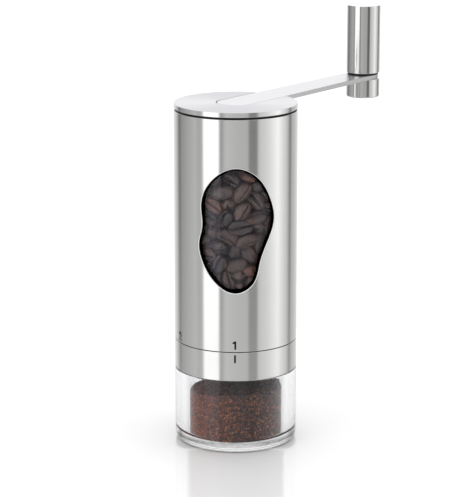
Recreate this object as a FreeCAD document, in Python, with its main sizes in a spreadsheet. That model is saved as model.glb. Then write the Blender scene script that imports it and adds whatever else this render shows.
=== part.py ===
import FreeCAD, Part
import math
import os
import Sketcher

# Hand crank coffee grinder, in millimetres.
# +Z is up, the origin is the middle of the jar's underside, and the front of the
# body (bean window, numeral 1 and index line) faces -Y.

doc = FreeCAD.newDocument("HandCoffeeGrinder")
sheet = doc.addObject("Spreadsheet::Sheet", "Sizes")
subParts = []
drivingCount = 0


class Size:
    # A number together with the sheet expression that gives it.
    # Arithmetic on sizes keeps both, so a profile is written once.
    def __init__(self, value, text):
        self.value = value
        self.text = text

    def __add__(self, other):
        other = asSize(other)
        return Size(self.value + other.value, f"({self.text} + {other.text})")

    def __sub__(self, other):
        other = asSize(other)
        return Size(self.value - other.value, f"({self.text} - {other.text})")

    def __mul__(self, other):
        other = asSize(other)
        return Size(self.value * other.value, f"({self.text} * {other.text})")


def asSize(number):
    if isinstance(number, Size):
        return number
    return Size(number, f"{number:.6f}")


def driving(alias, value, note):
    # one row of the sheet: a note and a plain number under its alias
    global drivingCount
    drivingCount += 1
    sheet.set(f"A{drivingCount}", note)
    sheet.set(f"B{drivingCount}", f"{value}")
    sheet.setAlias(f"B{drivingCount}", alias)
    return Size(value, f"Sizes.{alias}")


# ---- driving dimensions ----

bodyRadius = driving("bodyRadius", 27.0, "radius of the jar, the collar, the sleeve and the lid")
sleeveWall = driving("sleeveWall", 0.8, "steel wall of the sleeve and the collar ring")
wallGap = driving("wallGap", 0.05, "slip between a liner and the steel round it")
runFit = driving("runFit", 0.08, "radial clearance of a running fit")
faceGap = driving("faceGap", 0.15, "gap between faces that slide or lift off")

jarShoulder = driving("jarShoulder", 33.05, "height of the jar's shoulder")
jarFloor = driving("jarFloor", 3.5, "thickness of the jar's base")
jarFoot = driving("jarFoot", 3.0, "radius round the jar's bottom edge")
chamberRadius = driving("chamberRadius", 20.7, "radius of the ground coffee chamber")
chamberFillet = driving("chamberFillet", 1.6, "radius at the chamber's floor")
neckRadius = driving("neckRadius", 24.3, "radius of the jar's neck")
neckTop = driving("neckTop", 42.0, "height of the neck's rim")
neckLead = driving("neckLead", 0.5, "chamfer on the neck's rim")
sealHeight = driving("sealHeight", 37.4, "height of the jar's ring seal")
sealCord = driving("sealCord", 0.6, "radius of the ring seal's cord")
grooveDepth = driving("grooveDepth", 1.0, "depth of the seal's groove")
grooveHalf = driving("grooveHalf", 0.9, "half the width of the seal's groove")

ringBottom = driving("ringBottom", 33.2, "lower edge of the collar ring")
seamHeight = driving("seamHeight", 46.0, "upper edge of the collar ring")
seamGap = driving("seamGap", 0.35, "gap between the collar ring and the sleeve")
sleeveTop = driving("sleeveTop", 148.45, "upper edge of the sleeve")
edgeBreak = driving("edgeBreak", 0.15, "chamfer on the steel's edges")

neckBore = driving("neckBore", 24.6, "bore of the housing round the jar's neck")
ledgeBore = driving("ledgeBore", 24.0, "bore of the ledge over the guide plate")
lipBore = driving("lipBore", 23.0, "bore of the housing's lip, in which the hopper turns")
lipBottom = driving("lipBottom", 47.9, "underside of the housing's lip")
housingTop = driving("housingTop", 56.0, "top of the housing's upper wall")
housingWall = driving("housingWall", 25.85, "radius of the housing's upper wall")
plateThick = driving("plateThick", 3.0, "thickness of the guide plate")
plateBore = driving("plateBore", 17.0, "bore of the guide plate, through which coffee falls")
clipThick = driving("clipThick", 0.6, "thickness of the circlips")
pinCircle = driving("pinCircle", 19.4, "radius of the circle of guide pins and clamp screws")
pinRadius = driving("pinRadius", 1.0, "radius of a guide pin")
pinTop = driving("pinTop", 58.5, "top of the guide pins")

carrierBottom = driving("carrierBottom", 46.9, "underside of the burr carrier at setting 1")
carrierTop = driving("carrierTop", 59.4, "top of the burr carrier at setting 1")
carrierRadius = driving("carrierRadius", 21.25, "radius of the burr carrier's thread")
carrierLip = driving("carrierLip", 1.0, "lip under the outer burr, and its clamp ring")
burrRadius = driving("burrRadius", 17.3, "outside radius of the outer burr")

baseTop = driving("baseTop", 69.5, "top of the hopper base")
baseShelf = driving("baseShelf", 62.5, "shelf of the hopper base under the shaft bridge")
baseSkirtTop = driving("baseSkirtTop", 56.4, "where the hopper base widens to the sleeve")
flangeRadius = driving("flangeRadius", 23.7, "radius of the hopper base's foot flange")
tubeRadius = driving("tubeRadius", 25.1, "outside radius of the hopper tube")
tubeWall = driving("tubeWall", 2.0, "wall of the hopper tube")
tubeBottom = driving("tubeBottom", 66.05, "lower edge of the hopper tube")
rimSkirt = driving("rimSkirt", 140.0, "lower edge of the rim ring's skirt")
rimRadius = driving("rimRadius", 26.6, "outside radius of the rim ring's flange")

hubRadius = driving("hubRadius", 6.5, "radius of the shaft bridge's hub")
hubBottom = driving("hubBottom", 61.6, "underside of the hub")
hubTop = driving("hubTop", 72.0, "top of the hub")
spokeWidth = driving("spokeWidth", 4.0, "width of a spoke of the shaft bridge")
bushLength = driving("bushLength", 4.2, "length of a shaft bush")
bushRadius = driving("bushRadius", 4.6, "outside radius of a shaft bush")

shaftRadius = driving("shaftRadius", 3.0, "radius of the drive shaft")
shaftBottom = driving("shaftBottom", 41.6, "lower end of the drive shaft")
shaftTop = driving("shaftTop", 142.0, "upper end of the drive shaft")
hexBottom = driving("hexBottom", 128.0, "where the shaft's hexagon starts")
hexCorner = driving("hexCorner", 3.4, "corner radius of the shaft's hexagon")
threadRadius = driving("threadRadius", 2.5, "radius of the shaft's threaded end")
burrBottom = driving("burrBottom", 46.2, "underside of the inner burr")
burrTop = driving("burrTop", 60.0, "top of the inner burr")
crossPinHeight = driving("crossPinHeight", 58.8, "height of the cross pin that drives the burr")

lidUnder = driving("lidUnder", 149.4, "underside of the lid and of the crank arm")
lidThick = driving("lidThick", 2.1, "thickness of the lid and of the crank arm")
linerRadius = driving("linerRadius", 22.8, "radius of the lid's liner")
linerBottom = driving("linerBottom", 142.0, "lower edge of the lid's liner")
linerWall = driving("linerWall", 1.6, "wall of the lid's liner")
linerPlate = driving("linerPlate", 2.0, "thickness of the liner's plate and the socket's flange")
socketRadius = driving("socketRadius", 5.0, "outside radius of the drive socket")
socketFlange = driving("socketFlange", 8.0, "radius of the drive socket's flange")
socketDepth = driving("socketDepth", 142.6, "top of the drive socket's hexagon")

armReach = driving("armReach", 98.0, "distance from the shaft to the knob")
armHub = driving("armHub", 8.3, "radius of the arm's end over the shaft")
armTip = driving("armTip", 7.1, "radius of the arm's end under the knob")
armGap = driving("armGap", 0.28, "gap between the arm and its slot in the lid")
armAngle = driving("armAngle", 51.0, "direction of the arm, in degrees from +X towards +Y")

knobRadius = driving("knobRadius", 7.75, "radius of the knob and of its boss")
knobBottom = driving("knobBottom", 152.2, "underside of the knob")
knobTop = driving("knobTop", 183.8, "top of the knob")
knobCrown = driving("knobCrown", 4.8, "thickness of the knob's closed end")
knobBore = driving("knobBore", 4.8, "radius of the knob's bore")
bossBottom = driving("bossBottom", 140.8, "underside of the boss under the arm")
axleRadius = driving("axleRadius", 2.9, "radius of the knob's axle")
axleTop = driving("axleTop", 177.6, "top of the knob's axle")

doc.recompute()

inside = bodyRadius - sleeveWall
liner = inside - wallGap

# the bean window's outline on the unrolled front: along the wall, and height above the floor
windowOutline = [
    (-0.5, 127.3), (8.6, 123.4), (15.1, 113.3), (17.0, 104.4), (13.6, 94.8),
    (9.9, 85.4), (7.4, 77.3), (-0.5, 72.6), (-9.0, 76.4), (-15.6, 85.6),
    (-17.5, 94.0), (-15.8, 101.5), (-16.4, 110.0), (-12.6, 120.2),
]


# ---- ways of making a piece ----

def bind(item, prop, size):
    item.setExpression(prop, asSize(size).text)


def place(item, across=None, along=None, up=None):
    # moves an object by sizes of the sheet
    for axis, size in (("x", across), ("y", along), ("z", up)):
        if size is not None:
            bind(item, f"Placement.Base.{axis}", size)


def keep(item, label):
    # marks an object as a finished sub-part
    item.Label = label
    subParts.append(item)
    return item


def sketchOn(body, name, role):
    sketch = body.newObject("Sketcher::SketchObject", name)
    plane = next(item for item in body.Origin.OriginFeatures if item.Role == role)
    sketch.AttachmentSupport = [(plane, "")]
    sketch.MapMode = "FlatFace"
    return sketch


def pinPoint(sketch, edge, kind, axis, size):
    # ties the start of an edge to a distance from the origin along one axis
    if size.value == 0:
        sketch.addConstraint(Sketcher.Constraint("PointOnObject", edge, 1, axis))
        return
    index = sketch.addConstraint(Sketcher.Constraint(kind, -1, 1, edge, 1, size.value))
    bind(sketch, f"Constraints[{index}]", size)


def drawPolygon(sketch, corners):
    corners = [(asSize(first), asSize(second)) for first, second in corners]
    count = len(corners)
    points = [FreeCAD.Vector(first.value, second.value, 0) for first, second in corners]
    for index in range(count):
        sketch.addGeometry(Part.LineSegment(points[index], points[(index + 1) % count]), False)
    for index in range(count):
        joined = (index + 1) % count
        sketch.addConstraint(Sketcher.Constraint("Coincident", index, 2, joined, 1))
    for index, (first, second) in enumerate(corners):
        pinPoint(sketch, index, "DistanceX", -2, first)
        pinPoint(sketch, index, "DistanceY", -1, second)


def turned(name, profile):
    # a body turned about the upright axis from a profile of (radius, height) corners
    body = doc.addObject("PartDesign::Body", name)
    sketch = sketchOn(body, name + "Profile", "XZ_Plane")
    drawPolygon(sketch, profile)
    turn = body.newObject("PartDesign::Revolution", name + "Turn")
    turn.Profile = sketch
    turn.ReferenceAxis = (sketch, ["V_Axis"])
    turn.Angle = 360
    return body


def ring(name, outer, inner, bottom, top):
    return turned(name, [(inner, bottom), (outer, bottom), (outer, top), (inner, top)])


def cylinder(name, radius, bottom, height, across=None, along=None):
    item = doc.addObject("Part::Cylinder", name)
    bind(item, "Radius", radius)
    bind(item, "Height", height)
    place(item, across, along, bottom)
    return item


def cone(name, lower, upper, bottom, height, across=None, along=None):
    item = doc.addObject("Part::Cone", name)
    bind(item, "Radius1", lower)
    bind(item, "Radius2", upper)
    bind(item, "Height", height)
    place(item, across, along, bottom)
    return item


def hexPrism(name, corner, bottom, height, across=None, along=None):
    item = doc.addObject("Part::Prism", name)
    item.Polygon = 6
    bind(item, "Circumradius", corner)
    bind(item, "Height", height)
    place(item, across, along, bottom)
    return item


def cut(name, base, tool):
    item = doc.addObject("Part::Cut", name)
    item.Base = base
    item.Tool = tool
    return item


def common(name, base, tool):
    item = doc.addObject("Part::Common", name)
    item.Base = base
    item.Tool = tool
    return item


def fused(name, pieces):
    item = doc.addObject("Part::MultiFuse", name)
    item.Shapes = pieces
    return item


def grouped(name, pieces):
    item = doc.addObject("Part::Compound", name)
    item.Links = pieces
    return item


def roundPlaces(radius, count, first):
    # evenly spaced places on a circle, as (across, along) pairs of sizes
    places = []
    for index in range(count):
        angle = math.radians(first + 360.0 * index / count)
        places.append((asSize(radius) * math.cos(angle), asSize(radius) * math.sin(angle)))
    return places


def screws(name, places, headFace, intoUp, headRadius, headDepth, shankRadius, length):
    # countersunk screws with a hexagon socket; intoUp is 1 for screws driven upwards
    pieces = []
    for index, (across, along) in enumerate(places):
        tag = f"{name}{index}"
        if intoUp > 0:
            head = cone(tag + "Head", headRadius, shankRadius, headFace, headDepth, across, along)
            shank = cylinder(tag + "Shank", shankRadius, headFace, length, across, along)
            recess = hexPrism(tag + "Recess", shankRadius * 0.75, headFace, headDepth, across, along)
        else:
            tip = headFace - length
            seat = headFace - headDepth
            head = cone(tag + "Head", shankRadius, headRadius, seat, headDepth, across, along)
            shank = cylinder(tag + "Shank", shankRadius, tip, length, across, along)
            recess = hexPrism(tag + "Recess", shankRadius * 0.75, seat, headDepth, across, along)
        whole = fused(tag + "Blank", [head, shank])
        pieces.append((whole, cut(tag + "Screw", whole, recess)))
    blanks = grouped(name + "Blanks", [blank for blank, finished in pieces])
    return blanks, grouped(name + "Group", [finished for blank, finished in pieces])


def flutes(name, count, radius, start, finish, twist):
    # round grooves along a cone, each from (radius, height) start to finish, turned by twist
    tools = []
    for index in range(count):
        first = 2 * math.pi * index / count
        last = first + math.radians(twist)
        begin = FreeCAD.Vector(start[0] * math.cos(first), start[0] * math.sin(first), start[1])
        end = FreeCAD.Vector(finish[0] * math.cos(last), finish[0] * math.sin(last), finish[1])
        tool = doc.addObject("Part::Cylinder", f"{name}{index}")
        tool.Radius = radius
        tool.Height = (end - begin).Length
        tool.Placement = FreeCAD.Placement(begin, FreeCAD.Rotation(FreeCAD.Vector(0, 0, 1), end - begin))
        tools.append(tool)
    return fused(name, tools)


def edgesAt(shape, radius, height):
    # names of the round edges of one radius at one height
    names = []
    for index, edge in enumerate(shape.Edges, start=1):
        curve = edge.Curve
        isRound = curve.TypeId == "Part::GeomCircle"
        if isRound and abs(curve.Radius - radius) < 1e-4 and abs(curve.Center.z - height) < 1e-4:
            names.append(f"Edge{index}")
    return names


def rounded(body, name, radius, edgeRadius, edgeHeight):
    # rounds the circular edge of a turned body
    doc.recompute()
    base = body.Tip
    fillet = body.newObject("PartDesign::Fillet", name)
    fillet.Base = (base, edgesAt(base.Shape, edgeRadius.value, edgeHeight.value))
    bind(fillet, "Radius", radius)
    body.Tip = fillet
    return fillet


# ---- the jar: stands on the floor and carries everything else ----

def makeJar():
    grooveFloor = neckRadius - grooveDepth
    profile = [
        (0, 0), (bodyRadius, 0), (bodyRadius, jarShoulder), (neckRadius, jarShoulder),
        (neckRadius, sealHeight - grooveHalf), (grooveFloor, sealHeight - grooveHalf),
        (grooveFloor, sealHeight + grooveHalf), (neckRadius, sealHeight + grooveHalf),
        (neckRadius, neckTop - neckLead), (neckRadius - neckLead, neckTop),
        (chamberRadius, neckTop), (chamberRadius, jarFloor), (0, jarFloor),
    ]
    jar = turned("Jar", profile)
    rounded(jar, "JarFoot", jarFoot, bodyRadius, asSize(0))
    rounded(jar, "JarChamberEdge", chamberFillet, chamberRadius, jarFloor)
    keep(jar, "jar")


def makeJarSeal():
    seal = doc.addObject("Part::Torus", "JarSeal")
    bind(seal, "Radius1", neckBore - wallGap - sealCord)
    bind(seal, "Radius2", sealCord)
    place(seal, up=sealHeight)
    keep(seal, "jar_seal")


# ---- the collar: steel ring, housing and guide for the burr carrier ----

def makeCollarRing():
    keep(turned("CollarRing", [
        (inside, ringBottom), (bodyRadius - edgeBreak, ringBottom),
        (bodyRadius, ringBottom + edgeBreak), (bodyRadius, seamHeight - edgeBreak),
        (bodyRadius - edgeBreak, seamHeight), (inside, seamHeight),
    ]), "collar_ring")


def makeMillHousing():
    # the lip over the ledge holds the hopper base's flange down
    plateBottom = seamHeight - plateThick
    clipBottom = plateBottom - clipThick - wallGap
    keep(turned("MillHousing", [
        (neckBore, ringBottom + edgeBreak), (liner, ringBottom + edgeBreak), (liner, seamHeight),
        (housingWall, seamHeight), (housingWall, housingTop), (lipBore, housingTop),
        (lipBore, lipBottom), (ledgeBore, lipBottom), (ledgeBore, seamHeight),
        (neckBore, seamHeight), (neckBore, plateBottom), (neckBore + clipThick, plateBottom),
        (neckBore + clipThick, clipBottom), (neckBore, clipBottom),
    ]), "mill_housing")


def makeGuidePins():
    places = roundPlaces(pinCircle, 3, 30.0)
    foot = seamHeight - plateThick + wallGap
    pins = []
    for index, (across, along) in enumerate(places):
        pins.append(cylinder(f"GuidePin{index}", pinRadius, foot, pinTop - foot, across, along))
    return grouped("GuidePins", pins)


def makeGuidePlate(pins):
    blank = ring("GuidePlateBlank", neckBore - wallGap, plateBore, seamHeight - plateThick, seamHeight)
    keep(cut("GuidePlate", blank, pins), "guide_plate")
    keep(pins, "guide_pins")


def openRing(name, outer, inner, bottom, thickness, gapWidth):
    # a circlip: a flat ring with a gap at the back
    blank = ring(name + "Blank", outer, inner, bottom, bottom + thickness)
    gap = doc.addObject("Part::Box", name + "Gap")
    bind(gap, "Length", gapWidth)
    bind(gap, "Width", outer)
    bind(gap, "Height", thickness)
    place(gap, asSize(gapWidth) * -0.5, 0, bottom)
    return cut(name, blank, gap)


def makePlateCirclip():
    bottom = seamHeight - plateThick - clipThick
    clip = openRing("PlateCirclip", neckBore + clipThick - wallGap, neckBore - 1.0, bottom, clipThick, 6.0)
    keep(clip, "plate_circlip")


# ---- the burr carrier: rises on the guide pins as the hopper is turned ----

def makeBurrCarrier():
    seat = carrierBottom + carrierLip
    blank = turned("CarrierBlank", [
        (burrRadius - 1.9, carrierBottom), (carrierRadius, carrierBottom), (carrierRadius, carrierTop),
        (burrRadius + wallGap, carrierTop), (burrRadius + wallGap, seat), (burrRadius - 1.9, seat),
    ])
    bores = []
    for index, (across, along) in enumerate(roundPlaces(pinCircle, 3, 30.0)):
        height = carrierTop - carrierBottom
        bores.append(cylinder(f"PinBore{index}", pinRadius + 0.3, carrierBottom, height, across, along))
    bored = cut("CarrierBored", blank, fused("PinBores", bores))
    clampTop = carrierTop + carrierLip
    blanks, group = screws("ClampScrew", roundPlaces(pinCircle, 3, 90.0), clampTop, -1,
                           asSize(1.5), asSize(0.7), asSize(0.8), asSize(5.0))
    keep(cut("BurrCarrier", bored, blanks), "burr_carrier")
    clamp = ring("ClampBlank", pinCircle + 1.6, burrRadius - 3.2, carrierTop, clampTop)
    keep(cut("BurrClamp", clamp, blanks), "burr_clamp_ring")
    keep(group, "clamp_screws")


def makeOuterBurr():
    # throat wide at the top, with a finishing band at the bottom
    bottom = carrierBottom + carrierLip
    blank = turned("OuterBurrBlank", [
        (asSize(14.45), bottom), (burrRadius, bottom), (burrRadius, carrierTop),
        (asSize(12.4), carrierTop), (asSize(13.35), bottom + 3.1),
    ])
    grooves = flutes("OuterFlute", 12, 1.1, (13.5, 50.2), (12.6, 60.5), 26.0)
    keep(cut("OuterBurr", blank, grooves), "outer_burr")


# ---- the hopper: sleeve, window, tube and bearings, turned to set the grind ----

def makeHopperBase():
    flangeBottom = seamHeight + faceGap
    flangeTop = lipBottom - faceGap
    thread = carrierRadius + runFit
    neck = lipBore - runFit
    blank = turned("HopperBaseBlank", [
        (thread, flangeBottom), (flangeRadius, flangeBottom), (flangeRadius, flangeTop),
        (neck, flangeTop), (neck, baseSkirtTop), (liner, baseSkirtTop), (liner, baseTop),
        (tubeRadius + wallGap, baseTop), (tubeRadius + wallGap, baseShelf), (thread, baseShelf),
    ])
    return blank


def makeShaftBridge(hopperBlank):
    # a ring on the shelf, three spokes and a hub for the shaft's bushes
    rimTop = tubeBottom - wallGap
    rim = turned("BridgeRim", [
        (asSize(18.0), baseShelf), (tubeRadius, baseShelf), (tubeRadius, rimTop), (asSize(21.4), rimTop),
    ])
    hub = cylinder("BridgeHub", hubRadius, hubBottom, hubTop - hubBottom)
    spokes = []
    for index in range(3):
        spoke = doc.addObject("Part::Box", f"BridgeSpoke{index}")
        bind(spoke, "Length", asSize(20.0))
        bind(spoke, "Width", spokeWidth)
        bind(spoke, "Height", asSize(3.2))
        angle = math.radians(90.0 + 120.0 * index)
        side = spokeWidth * 0.5
        spoke.Placement.Rotation = FreeCAD.Rotation(FreeCAD.Vector(0, 0, 1), math.degrees(angle))
        place(spoke, side * math.sin(angle), side * -math.cos(angle), baseShelf)
        spokes.append(spoke)
    whole = fused("BridgeBlank", [rim, hub] + spokes)
    bore = cylinder("BridgeBore", bushRadius, hubBottom, hubTop - hubBottom)
    bored = cut("BridgeBored", whole, bore)
    blanks, group = screws("BridgeScrew", roundPlaces(asSize(23.3), 3, 30.0), rimTop, -1,
                           asSize(1.5), asSize(0.8), asSize(0.8), asSize(7.5))
    keep(cut("ShaftBridge", bored, blanks), "shaft_bridge")
    keep(cut("HopperBase", hopperBlank, blanks), "hopper_base")
    keep(group, "bridge_screws")


def makeShaftBushes():
    bore = shaftRadius + runFit * 0.5
    lower = ring("LowerBush", bushRadius, bore, hubBottom, hubBottom + bushLength)
    upper = ring("UpperBush", bushRadius, bore, hubTop - bushLength, hubTop)
    keep(lower, "lower_shaft_bush")
    keep(upper, "upper_shaft_bush")


def outlineCurve(grow, lift):
    # a closed smooth curve through the window's outline, moved out by grow and up by lift
    radius = bodyRadius.value
    points = []
    for along, height in windowOutline:
        points.append(FreeCAD.Vector(radius * math.sin(along / radius), height, 0))
    curve = Part.BSplineCurve()
    curve.interpolate(Points=points, PeriodicFlag=True)
    moved = []
    for point in points:
        tangent = FreeCAD.Vector(*curve.tangent(curve.parameter(point))[0])
        outward = FreeCAD.Vector(-tangent.y, tangent.x, 0)
        moved.append(point + outward * grow + FreeCAD.Vector(0, lift, 0))
    curve.interpolate(Points=moved, PeriodicFlag=True)
    return curve


def windowBlock(name, grow, lift):
    # a block with the window's outline, from the axis out through the front
    body = doc.addObject("PartDesign::Body", name)
    sketch = sketchOn(body, name + "Outline", "XZ_Plane")
    sketch.addGeometry(outlineCurve(grow, lift), False)
    pad = body.newObject("PartDesign::Pad", name + "Pad")
    pad.Profile = sketch
    bind(pad, "Length", bodyRadius + 2.0)
    return body


def makeSleeve():
    blank = turned("SleeveBlank", [
        (inside, seamHeight + seamGap), (bodyRadius - edgeBreak, seamHeight + seamGap),
        (bodyRadius, seamHeight + seamGap + edgeBreak), (bodyRadius, sleeveTop - edgeBreak),
        (bodyRadius - edgeBreak, sleeveTop), (inside, sleeveTop),
    ])
    keep(cut("BodySleeve", blank, windowBlock("WindowCut", 0.0, 0.0)), "body_sleeve")


def makeWindowGasket():
    # a black frame between the sleeve and the tube that shows round the window
    shell = ring("GasketShell", liner, tubeRadius + wallGap, asSize(69.8), asSize(131.0))
    patch = common("GasketPatch", shell, windowBlock("GasketOutside", 2.2, 0.0))
    keep(cut("WindowGasket", patch, windowBlock("GasketInside", -1.4, 0.2)), "window_gasket")


def makeHopperTube():
    keep(ring("HopperTube", tubeRadius, tubeRadius - tubeWall, tubeBottom, sleeveTop - wallGap),
         "hopper_tube")


def makeRimRing():
    flangeTop = lidUnder - faceGap
    keep(turned("RimRing", [
        (tubeRadius + wallGap, rimSkirt), (liner, rimSkirt), (liner, sleeveTop), (rimRadius, sleeveTop),
        (rimRadius, flangeTop), (tubeRadius - tubeWall, flangeTop), (tubeRadius - tubeWall, sleeveTop),
        (tubeRadius + wallGap, sleeveTop),
    ]), "rim_ring")


# ---- the shaft and the inner burr, turned by the crank ----

def makeDriveShaft():
    clipBottom = hubTop + 0.3
    clipTop = clipBottom + clipThick + 0.1
    turnedPart = turned("ShaftRound", [
        (0, shaftBottom), (threadRadius, shaftBottom), (threadRadius, burrBottom),
        (shaftRadius, burrBottom), (shaftRadius, clipBottom), (shaftRadius - 0.5, clipBottom),
        (shaftRadius - 0.5, clipTop), (shaftRadius, clipTop), (shaftRadius, hexBottom), (0, hexBottom),
    ])
    hexagon = hexPrism("ShaftHexagon", hexCorner, hexBottom, shaftTop - hexBottom)
    whole = fused("ShaftBlank", [turnedPart, hexagon])
    pin = doc.addObject("Part::Cylinder", "CrossPin")
    bind(pin, "Radius", asSize(1.0))
    bind(pin, "Height", asSize(12.0))
    pin.Placement.Rotation = FreeCAD.Rotation(FreeCAD.Vector(0, 1, 0), 90.0)
    place(pin, asSize(-6.0), 0, crossPinHeight)
    keep(cut("DriveShaft", whole, pin), "drive_shaft")
    keep(pin, "drive_pin")
    clip = openRing("ShaftClip", asSize(4.8), shaftRadius - 0.45, clipBottom + 0.05, clipThick, 3.0)
    keep(clip, "shaft_clip")


def makeInnerBurr():
    # a cone that widens downwards, with a finishing band at its foot
    blank = turned("InnerBurrBlank", [
        (shaftRadius + 0.02, burrBottom), (asSize(13.2), burrBottom), (asSize(14.0), burrBottom + 0.8),
        (asSize(14.0), burrBottom + 1.7), (asSize(12.9), burrBottom + 4.8), (asSize(6.7), burrTop),
        (shaftRadius + 0.02, burrTop),
    ])
    grooves = flutes("InnerFlute", 9, 1.3, (14.2, 49.0), (6.2, 61.0), -34.0)
    slot = doc.addObject("Part::Box", "BurrSlot")
    bind(slot, "Length", asSize(20.0))
    bind(slot, "Width", asSize(2.2))
    bind(slot, "Height", asSize(4.0))
    place(slot, asSize(-10.0), asSize(-1.1), crossPinHeight - 1.1)
    keep(cut("InnerBurr", cut("InnerBurrFluted", blank, grooves), slot), "inner_burr")


def makeShaftFittings():
    stack = burrTop + 0.05
    keep(ring("WaveWasher", asSize(5.9), shaftRadius + 0.1, stack, stack + 0.7), "wave_washer")
    keep(ring("ThrustWasher", asSize(6.2), shaftRadius + 0.1, stack + 0.75, stack + 1.45), "thrust_washer")
    keep(ring("BurrWasher", asSize(6.0), threadRadius + 0.1, burrBottom - 1.0, burrBottom), "burr_washer")
    nutBottom = burrBottom - 4.0
    hexagon = hexPrism("NutHexagon", asSize(4.6), nutBottom, asSize(3.0))
    bore = cylinder("NutBore", threadRadius, nutBottom, asSize(3.0))
    keep(cut("BurrNut", hexagon, bore), "burr_nut")


# ---- the lid and the crank, which lift off the shaft's hexagon ----

def armBody(name, grow, bottom, thickness):
    # a plate with two round ends joined by straight tangent sides, along the arm's direction
    hub = armHub + grow
    tip = armTip + grow
    body = doc.addObject("PartDesign::Body", name)
    sketch = sketchOn(body, name + "Outline", "XY_Plane")
    lean = math.acos((hub.value - tip.value) / armReach.value)
    zAxis = FreeCAD.Vector(0, 0, 1)
    middle = FreeCAD.Vector(0, 0, 0)
    end = FreeCAD.Vector(armReach.value, 0, 0)
    side = FreeCAD.Vector(math.cos(lean), math.sin(lean), 0)
    mirror = FreeCAD.Vector(side.x, -side.y, 0)
    sketch.addGeometry(Part.ArcOfCircle(Part.Circle(middle, zAxis, hub.value), lean, 2 * math.pi - lean))
    sketch.addGeometry(Part.ArcOfCircle(Part.Circle(end, zAxis, tip.value), -lean, lean))
    sketch.addGeometry(Part.LineSegment(side * hub.value, end + side * tip.value))
    sketch.addGeometry(Part.LineSegment(end + mirror * tip.value, mirror * hub.value))
    for first, firstEnd, second, secondEnd in ((0, 1, 2, 1), (2, 2, 1, 2), (1, 1, 3, 1), (3, 2, 0, 2)):
        sketch.addConstraint(Sketcher.Constraint("Tangent", first, firstEnd, second, secondEnd))
    sketch.addConstraint(Sketcher.Constraint("Coincident", 0, 3, -1, 1))
    sketch.addConstraint(Sketcher.Constraint("PointOnObject", 1, 3, -1))
    for kind, edge, size in (("Radius", 0, hub), ("Radius", 1, tip)):
        index = sketch.addConstraint(Sketcher.Constraint(kind, edge, size.value))
        bind(sketch, f"Constraints[{index}]", size)
    index = sketch.addConstraint(Sketcher.Constraint("DistanceX", -1, 1, 1, 3, armReach.value))
    bind(sketch, f"Constraints[{index}]", armReach)
    pad = body.newObject("PartDesign::Pad", name + "Pad")
    pad.Profile = sketch
    bind(pad, "Length", thickness)
    body.Placement.Rotation = FreeCAD.Rotation(zAxis, armAngle.value)
    bind(body, "Placement.Rotation.Angle", armAngle)
    place(body, up=bottom)
    return body


def knobPlace():
    angle = math.radians(armAngle.value)
    return armReach * math.cos(angle), armReach * math.sin(angle)


def makeLid():
    disc = cylinder("LidBlank", bodyRadius, lidUnder, lidThick)
    slotted = cut("LidSlotted", disc, armBody("ArmSlot", armGap, lidUnder - 1.0, lidThick + 2.0))
    plateBottom = lidUnder - linerPlate
    places = roundPlaces(asSize(16.0), 4, armAngle.value)[1:]
    blanks, group = screws("LidScrew", places, plateBottom, 1,
                           asSize(1.7), asSize(0.9), asSize(1.0), asSize(3.4))
    keep(cut("LidDisc", slotted, blanks), "lid_disc")
    bottomBore = socketFlange + wallGap
    linerBlank = turned("LinerBlank", [
        (bottomBore, plateBottom), (linerRadius - linerWall, plateBottom),
        (linerRadius - linerWall, linerBottom), (linerRadius, linerBottom), (linerRadius, lidUnder),
        (bottomBore, lidUnder),
    ])
    keep(cut("LidLiner", linerBlank, blanks), "lid_liner")
    keep(group, "lid_screws")


def makeCrank():
    across, along = knobPlace()
    plateBottom = lidUnder - linerPlate
    blanks, group = screws("SocketScrew", roundPlaces(asSize(6.45), 3, armAngle.value + 60.0),
                           plateBottom, 1, asSize(1.35), asSize(0.6), asSize(0.8), asSize(3.4))
    plate = armBody("ArmPlate", asSize(0.0), lidUnder, lidThick)
    eye = cylinder("ArmEye", axleRadius, lidUnder, lidThick, across, along)
    drilled = cut("ArmDrilled", plate, eye)
    keep(cut("CrankArm", drilled, blanks), "crank_arm")
    socketBlank = turned("SocketBlank", [
        (0, hexBottom + 1.0), (socketRadius, hexBottom + 1.0), (socketRadius, plateBottom),
        (socketFlange, plateBottom), (socketFlange, lidUnder), (0, lidUnder),
    ])
    bore = hexPrism("SocketBore", hexCorner + 0.12, hexBottom + 1.0, socketDepth - hexBottom - 1.0)
    keep(cut("DriveSocket", cut("SocketBored", socketBlank, bore), blanks), "drive_socket")
    keep(group, "socket_screws")


# ---- the knob turns on its axle at the arm's end ----

def standingAt(body, across, along):
    place(body, across, along)
    return body


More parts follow.
